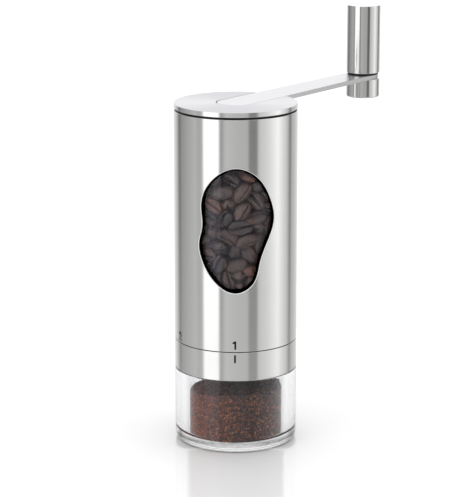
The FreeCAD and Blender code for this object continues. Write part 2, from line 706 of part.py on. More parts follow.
def makeKnobAxle():
    across, along = knobPlace()
    clipBottom = knobBottom + 7.6
    axle = turned("KnobAxleBlank", [
        (0, bossBottom + 2.0), (axleRadius, bossBottom + 2.0), (axleRadius, clipBottom),
        (axleRadius - 0.5, clipBottom), (axleRadius - 0.5, clipBottom + 0.8),
        (axleRadius, clipBottom + 0.8), (axleRadius, axleTop - 0.4), (axleRadius - 0.4, axleTop),
        (0, axleTop),
    ])
    standingAt(axle, across, along)
    blanks, group = screws("AxleScrew", [(across, along)], bossBottom, 1,
                           asSize(2.6), asSize(1.4), asSize(1.4), asSize(9.0))
    keep(cut("KnobAxle", axle, blanks), "knob_axle")
    keep(group, "axle_screw")
    boss = turned("KnobBossBlank", [
        (0, bossBottom), (knobRadius - 0.6, bossBottom), (knobRadius, bossBottom + 0.6),
        (knobRadius, lidUnder), (0, lidUnder),
    ])
    standingAt(boss, across, along)
    seat = fused("BossSeat", [cylinder("BossBore", axleRadius, bossBottom + 2.0, lidUnder - bossBottom,
                                       across, along), blanks])
    keep(cut("KnobBoss", boss, seat), "knob_boss")
    washer = ring("KnobWasher", knobRadius - 0.35, axleRadius + 0.05, lidUnder + lidThick,
                  knobBottom - faceGap)
    keep(standingAt(washer, across, along), "knob_washer")
    clip = openRing("AxleClip", asSize(4.5), axleRadius - 0.45, clipBottom + 0.1, clipThick, 3.0)
    keep(standingAt(clip, across, along), "axle_clip")


def makeKnob():
    across, along = knobPlace()
    knob = turned("Knob", [
        (knobBore, knobBottom), (knobRadius - 0.2, knobBottom), (knobRadius, knobBottom + 0.2),
        (knobRadius, knobTop - 0.2), (knobRadius - 0.2, knobTop), (0, knobTop),
        (0, knobTop - knobCrown), (knobBore, knobTop - knobCrown),
    ])
    keep(standingAt(knob, across, along), "knob")
    bore = axleRadius + runFit * 0.5
    for name, label, bottom in (("LowerKnobBush", "lower_knob_bush", knobBottom + 0.5),
                                ("UpperKnobBush", "upper_knob_bush", knobBottom + 18.0)):
        bush = ring(name, knobBore, bore, bottom, bottom + 6.0)
        keep(standingAt(bush, across, along), label)


makeJar()
makeJarSeal()
makeCollarRing()
makeMillHousing()
makeGuidePlate(makeGuidePins())
makePlateCirclip()
makeBurrCarrier()
makeOuterBurr()
makeShaftBridge(makeHopperBase())
makeShaftBushes()
makeSleeve()
makeWindowGasket()
makeHopperTube()
makeRimRing()
makeDriveShaft()
makeInnerBurr()
makeShaftFittings()
makeLid()
makeCrank()
makeKnobAxle()
makeKnob()
doc.recompute()

faults = []
for item in doc.Objects:
    if "Invalid" in item.State or "Error" in item.State:
        faults.append(f"{item.Name} is {item.State}")
for item in subParts:
    if item.Shape.isNull() or not item.Shape.isValid():
        faults.append(f"{item.Label} has no valid shape")
if faults:
    raise RuntimeError("; ".join(faults))

os.makedirs("parts", exist_ok=True)
for item in subParts:
    item.Shape.exportStep(f"parts/{item.Label}.step")
    box = item.Shape.BoundBox
    print(f"{item.Label}: {len(item.Shape.Solids)} solid(s), {item.Shape.Volume:.1f} mm3, "
          f"z {box.ZMin:.2f} to {box.ZMax:.2f}")
print(f"{len(subParts)} sub-parts")
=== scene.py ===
import math
import bmesh
import bpy
import numpy as np
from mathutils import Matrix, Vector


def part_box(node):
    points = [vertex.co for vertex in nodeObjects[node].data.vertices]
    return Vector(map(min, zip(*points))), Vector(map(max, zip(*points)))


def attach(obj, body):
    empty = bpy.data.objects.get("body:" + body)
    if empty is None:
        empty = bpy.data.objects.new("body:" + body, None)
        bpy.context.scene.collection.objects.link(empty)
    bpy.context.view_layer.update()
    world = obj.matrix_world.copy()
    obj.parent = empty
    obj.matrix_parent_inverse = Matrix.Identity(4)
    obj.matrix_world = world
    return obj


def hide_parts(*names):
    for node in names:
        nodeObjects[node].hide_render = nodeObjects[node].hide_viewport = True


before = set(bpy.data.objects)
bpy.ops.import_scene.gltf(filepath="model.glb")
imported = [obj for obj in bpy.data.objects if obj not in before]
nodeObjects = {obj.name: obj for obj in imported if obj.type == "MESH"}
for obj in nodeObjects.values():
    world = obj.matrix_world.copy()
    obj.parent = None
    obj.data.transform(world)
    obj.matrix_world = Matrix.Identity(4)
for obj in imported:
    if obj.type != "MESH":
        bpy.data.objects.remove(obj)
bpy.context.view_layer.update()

mm = 0.001
fullTurn = 2 * math.pi
scene = bpy.context.scene
print("frame loaded with", len(nodeObjects), "nodes")

# places that several pieces share, read from the frame
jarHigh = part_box("jar")[1]
ringLow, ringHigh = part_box("collar_ring")
sleeveLow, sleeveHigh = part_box("body_sleeve")
tubeLow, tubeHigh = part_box("hopper_tube")
lidLow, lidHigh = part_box("lid_disc")
knobLow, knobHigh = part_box("knob")
bossLow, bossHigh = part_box("knob_boss")
bodyRadius = ringHigh.x
steelWall = 0.8 * mm
slightRound = 0.05 * mm        # what a corner gets when its radius isn't given
wallInside = bodyRadius - steelWall
tubeInside = tubeHigh.x - 2.0 * mm
knobX = (knobLow.x + knobHigh.x) / 2
knobY = (knobLow.y + knobHigh.y) / 2
knobRadius = (knobHigh.x - knobLow.x) / 2
armAngle = math.atan2(knobY, knobX)
armReach = math.hypot(knobX, knobY)


def feed(tree, node, inputs):
    # each input gets a plain value or a link from another node's output
    for socket, value in inputs.items():
        if isinstance(value, bpy.types.NodeSocket):
            tree.links.new(value, node.inputs[socket])
        else:
            node.inputs[socket].default_value = value


def addNode(tree, kind, inputs=None, **settings):
    node = tree.nodes.new("ShaderNode" + kind)
    for name, value in settings.items():
        setattr(node, name, value)
    feed(tree, node, inputs or {})
    return node


def mathNode(tree, operation, *values):
    return addNode(tree, "Math", dict(enumerate(values)), operation=operation).outputs[0]


def noiseNode(tree, scale, detail, roughness, vector):
    inputs = {"Scale": scale, "Detail": detail, "Roughness": roughness, "Vector": vector}
    return addNode(tree, "TexNoise", inputs).outputs["Fac"]


def rangeNode(tree, source, low, high, newLow=0.0, newHigh=1.0, **settings):
    inputs = {"Value": source, "From Min": low, "From Max": high, "To Min": newLow, "To Max": newHigh}
    return addNode(tree, "MapRange", inputs, **settings).outputs[0]


def mixColour(tree, amount, first, second):
    inputs = {"A": first, "B": second, "Factor": amount}
    return addNode(tree, "Mix", inputs, data_type="RGBA").outputs["Result"]


def splitVector(tree, vector):
    return addNode(tree, "SeparateXYZ", {0: vector}).outputs


def objectVector(tree, scale=(1, 1, 1), turn=0.0):
    # Object coordinates, turned about Z and then stretched
    place = addNode(tree, "TexCoord").outputs["Object"]
    turned = addNode(tree, "Mapping", {"Rotation": (0, 0, turn), "Vector": place}).outputs[0]
    return addNode(tree, "Mapping", {"Scale": scale, "Vector": turned}).outputs[0]


def fillRamp(ramp, stops):
    while len(ramp.elements) < len(stops):
        ramp.elements.new(0.5)
    for element, (place, colour) in zip(ramp.elements, stops):
        element.position = place
    for element, (place, colour) in zip(ramp.elements, stops):
        element.color = colour


def newMaterial(name, **settings):
    # a Principled BSDF material; underscores in a setting's name stand for spaces
    material = bpy.data.materials.new(name)
    material.use_nodes = True
    tree = material.node_tree
    shader = tree.nodes["Principled BSDF"]
    feed(tree, shader, {socket.replace("_", " "): value for socket, value in settings.items()})
    return material, tree, shader


def tinted(tone, factor=1.0):
    return tuple(min(1.0, part * factor) for part in tone) + (1,)


viewpoint = {"place": (-0.0245, -0.9316, 0.3161), "down": 13.868, "turn": -1.502, "lens": 157.6}

cameraData = bpy.data.cameras.new("studioCamera")
cameraData.lens = viewpoint["lens"]
cameraData.sensor_width = 36
cameraData.clip_start = 0.05
cameraObject = bpy.data.objects.new("studioCamera", cameraData)
cameraObject.location = viewpoint["place"]
cameraObject.rotation_euler = (math.radians(90 - viewpoint["down"]), 0, math.radians(viewpoint["turn"]))
scene.collection.objects.link(cameraObject)
scene.camera = cameraObject
scene.view_settings.view_transform = "Standard"

studio = {
    "peak": 4.0,                      # brightness of the strongest panel
    # brightness, then where it starts and where it is full
    "low": (0.78, 0.17, 0.50),        # what the steel sees of the table close by, by how far down
    "backdrop": (1.20, 0.45, 0.75),   # white paper behind the mill, by how far behind
    "overhead": (1.32, 0.45, 0.80),   # soft panel above, by how far up
    "horizon": (-0.03, 0.06),         # the paper's lower edge
    # panels round the horizon: degrees to the right of the camera, brightness as seen in the steel
    "panels": [
        (-180, 1.00), (-150, 0.82), (-138, 0.50), (-132, 0.17), (-127, 0.17), (-124, 0.33), (-81, 0.63),
        (-76, 0.50), (-66, 0.55), (-62.5, 1.85), (-34, 1.85), (-31, 0.36), (-27, 0.33), (-24, 0.55),
        (-19, 0.69), (0, 0.60), (21, 0.56), (24, 0.19), (38, 0.19), (42, 0.76), (60, 0.98), (84, 1.45),
        (97, 1.05), (108, 0.80), (115, 0.50), (119, 0.20), (122, 0.20), (126, 0.56), (150, 0.78), (180, 1.00),
    ],
}


def makeWorld():
    # brightness by direction: upright panels round the horizon, paper behind, a soft panel above
    world = bpy.data.worlds.new("softStudio")
    scene.world = world
    world.use_nodes = True
    tree = world.node_tree
    tree.nodes.clear()

    def shade(brightness):
        return (brightness / studio["peak"],) * 3 + (1,)

    def blendTo(previous, name, source):
        # passes from the previous colour to a plain brightness as a value rises
        brightness, low, high = studio[name]
        amount = rangeNode(tree, source, low, high, interpolation_type="SMOOTHSTEP")
        return mixColour(tree, amount, previous, shade(brightness))

    way = splitVector(tree, addNode(tree, "TexCoord").outputs["Generated"])
    azimuth = mathNode(tree, "ARCTAN2", way["X"], mathNode(tree, "MULTIPLY", way["Y"], -1.0))
    panels = addNode(tree, "ValToRGB", {0: rangeNode(tree, azimuth, -math.pi, math.pi)})
    fillRamp(panels.color_ramp, [((angle + 180) / 360, shade(level)) for angle, level in studio["panels"]])
    lower = blendTo(panels.outputs["Color"], "low", mathNode(tree, "MULTIPLY", way["Z"], -1.0))
    behind = mathNode(tree, "MULTIPLY", way["Y"], rangeNode(tree, way["Z"], *studio["horizon"]))
    above = blendTo(blendTo(lower, "backdrop", behind), "overhead", way["Z"])
    room = addNode(tree, "Background", {"Strength": studio["peak"], "Color": above})
    white = addNode(tree, "Background", {"Color": (1, 1, 1, 1)})
    seen = addNode(tree, "LightPath").outputs["Is Camera Ray"]
    choice = addNode(tree, "MixShader", {0: seen, 1: room.outputs[0], 2: white.outputs[0]})
    addNode(tree, "OutputWorld", {"Surface": choice.outputs[0]})


table = {"reach": 4.0, "drop": 0.05 * mm, "corners": 96, "tone": (0.93, 0.93, 0.935, 1)}


def makeFloor():
    # a round glossy white table top that the steel's reflections don't see and that is clear from below
    angle = np.linspace(0, fullTurn, table["corners"], endpoint=False)
    points = np.stack([table["reach"] * np.cos(angle), table["reach"] * np.sin(angle),
                       0 * angle - table["drop"]], axis=1)
    mesh = bpy.data.meshes.new("tableTop")
    mesh.from_pydata(points.tolist(), [], [list(range(len(points)))])
    top = bpy.data.objects.new("tableTop", mesh)
    scene.collection.objects.link(top)
    material, tree, shader = newMaterial("glossyWhite", Base_Color=table["tone"], Roughness=0.05, IOR=2.0)
    fromBelow = addNode(tree, "NewGeometry").outputs["Backfacing"]
    clear = addNode(tree, "BsdfTransparent")
    choice = addNode(tree, "MixShader", {0: fromBelow, 1: shader.outputs[0], 2: clear.outputs[0]})
    tree.links.new(choice.outputs[0], tree.nodes["Material Output"].inputs["Surface"])
    mesh.materials.append(material)
    top.visible_glossy = False


makeWorld()
makeFloor()
print("camera, floor and light made")


def gridFaces(rows, columns, wrapRows=False, wrapColumns=False):
    # faces of a grid of rows by columns, each from four neighbours
    lastRow = rows if wrapRows else rows - 1
    lastColumn = columns if wrapColumns else columns - 1
    row, column = np.meshgrid(np.arange(lastRow), np.arange(lastColumn), indexing="ij")
    nextRow = (row + 1) % rows
    nextColumn = (column + 1) % columns
    corners = [row * columns + column, row * columns + nextColumn,
               nextRow * columns + nextColumn, nextRow * columns + column]
    return np.stack(corners, axis=-1).reshape(-1, 4)


def weld(points, normals, faces):
    # corners that share a place to a thousandth of a millimetre become one, and a four-sided face
    # with two corners in one place becomes a triangle
    keys = np.round(points / (0.001 * mm)).astype(np.int64)
    first, back = np.unique(keys, axis=0, return_index=True, return_inverse=True)[1:]
    joined = back.reshape(-1)[faces]
    repeated = joined == np.roll(joined, 1, axis=1)
    count = repeated.sum(axis=1)
    whole = joined[count == 0]
    pinched = joined[count == 1][~repeated[count == 1]].reshape(-1, 3)
    return points[first], normals[first], back.reshape(-1), whole.tolist() + pinched.tolist()


def makePiece(name, points, normals, faces, material, body, replaced=(), slotName=None, caps=()):
    # puts worked-out points, their normals and faces into a mesh that rides on a body;
    # caps are many-sided faces given by their corners
    points, normals, back, faces = weld(np.reshape(points, (-1, 3)), np.reshape(normals, (-1, 3)), faces)
    mesh = bpy.data.meshes.new(name)
    rims = [back[cap] for cap in caps]
    mesh.from_pydata(points.tolist(), [], faces + [rim[rim != np.roll(rim, 1)].tolist() for rim in rims])
    turnOutwards(mesh)
    mesh.shade_smooth()
    mesh.normals_split_custom_set_from_vertices(normals.tolist())
    return addPiece(name, mesh, material, body, replaced)


def turnOutwards(mesh):
    # makes every face of a closed mesh face outwards
    shape = bmesh.new()
    shape.from_mesh(mesh)
    bmesh.ops.recalc_face_normals(shape, faces=shape.faces)
    shape.to_mesh(mesh)
    shape.free()


def addPiece(name, mesh, material, body, replaced=()):
    mesh.materials.append(material)
    piece = bpy.data.objects.new(name, mesh)
    scene.collection.objects.link(piece)
    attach(piece, body)
    if replaced:
        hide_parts(*replaced)
    return piece


def roundedProfile(corners, closed=False, steps=6):
    # a line through corners (across, up, radius), each corner turned into an arc that is tangent
    # to both its sides; gives the points and, on the right of travel, the normals
    place = np.array([corner[:2] for corner in corners], float)
    count = len(corners)
    points = []
    normals = []
    for index in range(count):
        here = place[index]
        hasBefore = closed or index > 0
        hasAfter = closed or index < count - 1
        before = here - place[index - 1] if hasBefore else place[1] - here
        after = place[(index + 1) % count] - here if hasAfter else before
        before = before / np.linalg.norm(before)
        after = after / np.linalg.norm(after)
        turn = math.atan2(before[0] * after[1] - before[1] * after[0], before @ after)
        radius = corners[index][2] if len(corners[index]) > 2 else slightRound
        if not (hasBefore and hasAfter) or abs(turn) < 1e-6:
            points.append(here)
            normals.append((before[1], -before[0]))
            continue
        side = math.copysign(1, turn)
        start = here - before * radius * math.tan(abs(turn) / 2)
        centre = start + side * radius * np.array([-before[1], before[0]])
        angle = np.linspace(0, turn, steps)
        heading = np.stack([before[0] * np.cos(angle) - before[1] * np.sin(angle),
                            before[0] * np.sin(angle) + before[1] * np.cos(angle)], axis=1)
        right = np.stack([heading[:, 1], -heading[:, 0]], axis=1)
        points.extend(centre + side * radius * right)
        normals.extend(right)
    return np.array(points), np.array(normals)


def joinSurfaces(parts):
    # several (points, normals, faces) as one, each part's faces counted on from the part before
    points = [np.reshape(part[0], (-1, 3)) for part in parts]
    normals = [np.reshape(part[1], (-1, 3)) for part in parts]
    starts = np.cumsum([0] + [len(part) for part in points[:-1]])
    faces = [part[2] + start for part, start in zip(parts, starts)]
    return np.concatenate(points), np.concatenate(normals), np.concatenate(faces)


def turnedPiece(name, corners, material, body, replaced=(), slotName=None, closed=False, centre=(0, 0),
                segments=192, steps=6):
    # a rounded profile of (radius, height) carried round an upright axis
    profile, across = roundedProfile(corners, closed, steps)
    angle = np.linspace(0, fullTurn, segments, endpoint=False)
    radius = profile[:, 0, None]
    points = np.stack([centre[0] + radius * np.cos(angle), centre[1] + radius * np.sin(angle),
                       profile[:, 1, None] + 0 * angle], axis=-1)
    normals = np.stack([across[:, 0, None] * np.cos(angle), across[:, 0, None] * np.sin(angle),
                        across[:, 1, None] + 0 * angle], axis=-1)
    faces = gridFaces(len(profile), segments, wrapRows=closed, wrapColumns=True)
    return makePiece(name, points, normals, faces, material, body, replaced, slotName)


def plateSurface(path, outward, low, high, edge, steps=5):
    # an outline given by its points and outward normals, carried up from low to high, with both
    # its edges rounded by edge; the first and last rows are the rims of the flat faces
    lean = np.linspace(-math.pi / 2, math.pi / 2, 2 * steps)
    lean = np.sort(np.concatenate([lean, [0.0, 0.0]]))
    half = np.arange(len(lean)) < len(lean) / 2
    height = np.where(half, low + edge * (1 + np.sin(lean)), high - edge * (1 - np.sin(lean)))
    flat = path[None] - (edge * (1 - np.cos(lean)))[:, None, None] * outward[None]
    level = np.broadcast_to(height[:, None, None], flat.shape[:2] + (1,))
    points = np.concatenate([flat, level], axis=2)
    sideways = np.cos(lean)[:, None, None] * outward[None]
    upwards = np.broadcast_to(np.sin(lean)[:, None, None], flat.shape[:2] + (1,))
    return points, np.concatenate([sideways, upwards], axis=2)


def newGroup(name, inputs, outputs):
    # a shader group with number or vector inputs and number outputs
    group = bpy.data.node_groups.new(name, "ShaderNodeTree")
    for socket, kind in inputs:
        group.interface.new_socket(socket, in_out="INPUT", socket_type=kind)
    for socket in outputs:
        group.interface.new_socket(socket, in_out="OUTPUT", socket_type="NodeSocketFloat")
    return group, group.nodes.new("NodeGroupInput").outputs, group.nodes.new("NodeGroupOutput")


def makeBrushingGroup():
    # fine lines left by an abrasive belt: a quick noise across the grain with a slow one over it
    group, entry, leave = newGroup("brushing", [("Vector", "NodeSocketVector")], ["Shade", "Height", "Cloud"])
    fine = noiseNode(group, 1.0, 6, 0.75, entry["Vector"])
    slow = addNode(group, "VectorMath", {0: entry["Vector"], "Scale": 0.06}, operation="SCALE").outputs[0]
    cloud = noiseNode(group, 1.0, 3, 0.5, slow)
    feed(group, leave, {"Shade": rangeNode(group, fine, 0.3, 0.7), "Height": fine,
                        "Cloud": rangeNode(group, cloud, 0.35, 0.65)})
    return group


def makeSmudgeGroup():
    # faint handling marks: broad soft patches broken up by a finer noise
    group, entry, leave = newGroup("smudges", [("Size", "NodeSocketFloat")], ["Mask"])
    vector = objectVector(group)
    broad = rangeNode(group, noiseNode(group, entry["Size"], 2, 0.5, vector), 0.48, 0.7)
    broken = noiseNode(group, 900.0, 3, 0.6, vector)
    feed(group, leave, {"Mask": mathNode(group, "MULTIPLY", broad, broken)})
    return group


def placeGroup(tree, group, **values):
    node = addNode(tree, "Group", node_tree=group)
    feed(tree, node, values)
    return node.outputs


def bumpInto(tree, shader, height, strength, distance):
    bump = addNode(tree, "Bump", {"Strength": strength, "Distance": distance, "Height": height})
    tree.links.new(bump.outputs[0], shader.inputs["Normal"])


def brushedSteel(name, tone, grain, turn=0.0, rough=0.19, anisotropy=0.9, paintedSideTone=None, rings=False):
    # steel with lines along one direction; tone is the colour of its flat faces and the side tone that of its
    # sides, which is painted light and shade: lighter or darker by which way a face points
    material, tree, shader = newMaterial(name, Metallic=1.0, Anisotropic=anisotropy,
                                         Anisotropic_Rotation=0.25)
    vector = objectVector(tree, grain, turn)
    if rings:      # lines that run round the upright axis on a flat face
        flat = addNode(tree, "VectorMath", {0: objectVector(tree), 1: (1, 1, 0)}, operation="MULTIPLY")
        reach = addNode(tree, "VectorMath", {0: flat.outputs[0]}, operation="LENGTH").outputs["Value"]
        vector = addNode(tree, "CombineXYZ", {"X": rangeNode(tree, reach, 0, 1, 0, grain[2])}).outputs[0]
    lines = placeGroup(tree, brushingGroup, Vector=vector)
    smudge = placeGroup(tree, smudgeGroup, Size=45.0)
    colour = mixColour(tree, lines["Shade"], tinted(tone, 0.965), tinted(tone, 1.025))
    # painted light and shade: faces that point sideways take the side tone, standing in for how the light
    # falls on them
    if paintedSideTone:
        up = splitVector(tree, addNode(tree, "TexCoord").outputs["Normal"])["Z"]
        colour = mixColour(tree, rangeNode(tree, up, 0.15, 0.95), tinted(paintedSideTone), colour)
    roughLines = rangeNode(tree, lines["Shade"], 0, 1, rough - 0.02, rough + 0.02)
    dulled = mathNode(tree, "MULTIPLY_ADD", smudge["Mask"], 0.03, roughLines)
    tangent = addNode(tree, "Tangent", direction_type="RADIAL", axis="Z").outputs[0]
    feed(tree, shader, {"Base Color": colour, "Roughness": dulled, "Tangent": tangent})
    bumpInto(tree, shader, lines["Height"], 0.02, 0.01 * mm)
    return material


brushingGroup = makeBrushingGroup()
smudgeGroup = makeSmudgeGroup()
roundGrain = (25, 25, 9000)

sleeveSteel = brushedSteel("brushedSleeve", (0.695, 0.70, 0.682), roundGrain)
# painted shade: the knob's sides are coloured darker than its top
knobSteel = brushedSteel("turnedKnob", (0.79, 0.79, 0.80), roundGrain, rough=0.13,
                         paintedSideTone=(0.60, 0.60, 0.585))
# painted light: the lid's rim is coloured lighter than its top
lidSteel = brushedSteel("brushedLid", (0.545, 0.545, 0.575), (25, 25, 6000), rough=0.20, rings=True,
                        paintedSideTone=(0.70, 0.70, 0.70))
# painted shade: the arm's sides are coloured darker than its top
armSteel = brushedSteel("brushedArm", (0.64, 0.64, 0.665), (25, 9000, 25), turn=-armAngle, rough=0.26,
                        anisotropy=0.0, paintedSideTone=(0.60, 0.60, 0.60))
# polished steel for the window's cut edge, its colour raised to near white as a painted highlight
cutEdgeHighlight = brushedSteel("polishedCutHighlight", (0.96, 0.96, 0.955), roundGrain, rough=0.50, anisotropy=0.0)


def acrylic(name, sheen, smudgeSize, haze, clean, handled):
    # clear plastic whose handled patches are duller; sheen is the colour of what it mirrors
    material, tree, shader = newMaterial(name, IOR=1.49, Transmission_Weight=1.0, Specular_Tint=tinted(sheen))
    mask = placeGroup(tree, smudgeGroup, Size=smudgeSize)["Mask"]
    feed(tree, shader, {"Roughness": rangeNode(tree, mask, 0, 1, 0.0, haze),
                        "Base Color": mixColour(tree, mask, tinted(clean), tinted(handled))})
    return material


def makeSatinFoot():
    # the face the jar stands on: the same acrylic, rubbed to a soft satin in swirls
    material, tree, shader = newMaterial("satinFoot", IOR=1.49, Transmission_Weight=1.0,
                                         Base_Color=(0.82, 0.83, 0.86, 1))
    swirl = noiseNode(tree, 420.0, 3, 0.5, objectVector(tree))
    feed(tree, shader, {"Roughness": rangeNode(tree, swirl, 0.3, 0.7, 0.10, 0.22)})
    return material


def mouldedPlastic(name, tone, rough, grainSize, depth):
    # moulded plastic or rubber with a fine spark-eroded grain
    material, tree, shader = newMaterial(name, IOR=1.5, Specular_IOR_Level=0.2)
    vector = objectVector(tree)
    grain = noiseNode(tree, grainSize, 4, 0.65, vector)
    cloud = noiseNode(tree, 90.0, 3, 0.5, vector)
    feed(tree, shader, {"Base Color": mixColour(tree, cloud, tinted(tone, 0.8), tinted(tone, 1.25)),
                        "Roughness": rangeNode(tree, grain, 0.3, 0.7, rough - 0.08, rough + 0.08)})
    bumpInto(tree, shader, grain, 0.35, depth)
    return material


clearAcrylic = acrylic("clearAcrylic", (0.6, 0.6, 0.62), 70.0, 0.02,
                       clean=(0.915, 0.918, 0.925), handled=(0.885, 0.89, 0.90))
smokedAcrylic = acrylic("smokedAcrylic", (0.40, 0.40, 0.46), 110.0, 0.03,
                        clean=(0.93, 0.92, 0.93), handled=(0.85, 0.85, 0.87))
satinFoot = makeSatinFoot()
blackNylon = mouldedPlastic("blackNylon", (0.009, 0.009, 0.010), 0.55, 5200.0, 0.02 * mm)
blackRubber = mouldedPlastic("blackRubber", (0.012, 0.012, 0.013), 0.55, 3800.0, 0.02 * mm)
siliconeSeal = mouldedPlastic("siliconeSeal", (0.62, 0.63, 0.62), 0.42, 2600.0, 0.01 * mm)
whiteSlip = mouldedPlastic("whiteSlip", (0.78, 0.77, 0.74), 0.40, 2600.0, 0.01 * mm)
burrCeramic = mouldedPlastic("burrCeramic", (0.80, 0.79, 0.76), 0.34, 4200.0, 0.012 * mm)
blackPaint = mouldedPlastic("blackPaint", (0.003, 0.003, 0.003), 0.50, 9000.0, 0.004 * mm)


def machinedMetal(name, tone, rough):
    # machined metal with faint turning marks and small darker pores
    material, tree, shader = newMaterial(name, Metallic=1.0)
    lines = placeGroup(tree, brushingGroup, Vector=objectVector(tree, (200, 200, 6000)))
    pores = rangeNode(tree, noiseNode(tree, 3500.0, 2, 0.5, objectVector(tree)), 0.62, 0.72, 0, 0.5)
    shade = mixColour(tree, lines["Shade"], tinted(tone, 0.72), tinted(tone, 1.06))
    feed(tree, shader, {"Base Color": mixColour(tree, pores, shade, tinted(tone, 0.72)),
                        "Roughness": rangeNode(tree, lines["Cloud"], 0, 1, rough - 0.06, rough + 0.08)})
    bumpInto(tree, shader, lines["Height"], 0.1, 0.01 * mm)
    return material


shaftSteel = machinedMetal("machinedSteel", (0.62, 0.62, 0.61), 0.26)
brightScrew = machinedMetal("brightScrew", (0.68, 0.68, 0.67), 0.18)
springSteel = machinedMetal("springSteel", (0.28, 0.28, 0.29), 0.30)
sinteredBronze = machinedMetal("sinteredBronze", (0.55, 0.37, 0.19), 0.42)
print("finishes made")


windowPoints = np.array([      # millimetres round the front from the middle, and height
    (-0.5, 127.3), (8.6, 123.4), (15.1, 113.3), (17.0, 104.4), (13.6, 94.8),
    (9.9, 85.4), (7.4, 77.3), (-0.5, 72.6), (-9.0, 76.4), (-15.6, 85.6),
    (-17.5, 94.0), (-15.8, 101.5), (-16.4, 110.0), (-12.6, 120.2),
]) * mm


def closedSpline(knots, share):
    # smooth closed curve through knots, at shares 0 to 1 of the knots' order;
    # cubic between knots, with slopes that keep its curvature even
    count = len(knots)
    span = np.linalg.norm(np.roll(knots, -1, axis=0) - knots, axis=1)
    before = np.roll(span, 1)
    matrix = np.zeros((count, count))
    index = np.arange(count)
    matrix[index, index] = 2 * (1 / before + 1 / span)
    matrix[index, index - 1] = 1 / before
    matrix[index, (index + 1) % count] = 1 / span
    ahead = (np.roll(knots, -1, axis=0) - knots) / span[:, None] ** 2
    behind = (knots - np.roll(knots, 1, axis=0)) / before[:, None] ** 2
    slope = np.linalg.solve(matrix, 3 * (ahead + behind))
    place = share * count
    first = np.floor(place).astype(int) % count
    second = (first + 1) % count
    along = (place - np.floor(place))[:, None]
    length = span[first][:, None]
    points = ((1 + 2 * along) * (1 - along) ** 2 * knots[first]
              + along * (1 - along) ** 2 * length * slope[first]
              + along ** 2 * (3 - 2 * along) * knots[second]
              + along ** 2 * (along - 1) * length * slope[second])
    heading = (6 * along * (along - 1) * knots[first]
               + (1 - along) * (1 - 3 * along) * length * slope[first]
               - 6 * along * (along - 1) * knots[second]
               + along * (3 * along - 2) * length * slope[second])
    heading = heading / np.linalg.norm(heading, axis=1)[:, None]
    return points, np.stack([-heading[:, 1], heading[:, 0]], axis=1)


def windowCurve(grow, lift, share):
    # the window's outline seen from the front, moved outwards by grow and up by lift
    seen = np.stack([bodyRadius * np.sin(windowPoints[:, 0] / bodyRadius), windowPoints[:, 1]], axis=1)
    knots, outward = closedSpline(seen, np.arange(len(seen)) / len(seen))
    return closedSpline(knots + outward * grow + np.array([0, lift]), share)


sleeveShape = {
    "edge": 0.15 * mm, "windowEdge": 0.32 * mm, "innerEdge": 0.05 * mm,
    "rimDepth": 2 * mm, "wrap": math.radians(84),      # the front panel's reach to either side
    "sideCount": 72, "topCount": 84, "backCount": 96,      # faces along the panels' borders
    "frontRows": 26, "crowding": 0.8, "edgeSteps": 6, "lipRows": 4, "insideRows": 14,
    "facingSamples": 4000,
}


def borderSamples(low, high):
    # places on the front panel's border, clockwise from the top left, as (angle, height)
    wrap = sleeveShape["wrap"]
    across = np.linspace(-wrap, wrap, sleeveShape["topCount"] + 1)
    upright = np.linspace(high, low, sleeveShape["sideCount"] + 1)
    top = np.stack([across[:-1], 0 * across[:-1] + high], axis=1)
    right = np.stack([0 * upright[:-1] + wrap, upright[:-1]], axis=1)
    bottom = np.stack([across[:0:-1], 0 * across[:0:-1] + low], axis=1)
    left = np.stack([0 * upright[:0:-1] - wrap, upright[:0:-1]], axis=1)
    return np.concatenate([top, right, bottom, left])


def sharesFacing(border, middle):
    # for each border place, the share of the window's outline that lies in the same direction
    fine = np.linspace(0, 1, sleeveShape["facingSamples"], endpoint=False)
    outline, outward = windowCurve(0, 0, fine)
    outlineAngle = np.unwrap(np.arctan2(outline[:, 1] - middle, outline[:, 0]))
    borderAngle = np.unwrap(np.arctan2(border[:, 1] - middle, border[:, 0] * bodyRadius))
    if borderAngle[0] < outlineAngle.min():
        borderAngle = borderAngle + fullTurn
    turned = np.concatenate([outlineAngle - fullTurn, outlineAngle, outlineAngle + fullTurn])
    shares = np.concatenate([fine + 1, fine, fine - 1])
    order = np.argsort(turned)
    return np.interp(borderAngle, turned[order], shares[order]) % 1


def onWall(angle, height, radius):
    # a place at an angle round from the front, at a height and a radius
    return np.stack([radius * np.sin(angle), -radius * np.cos(angle), height], axis=-1)


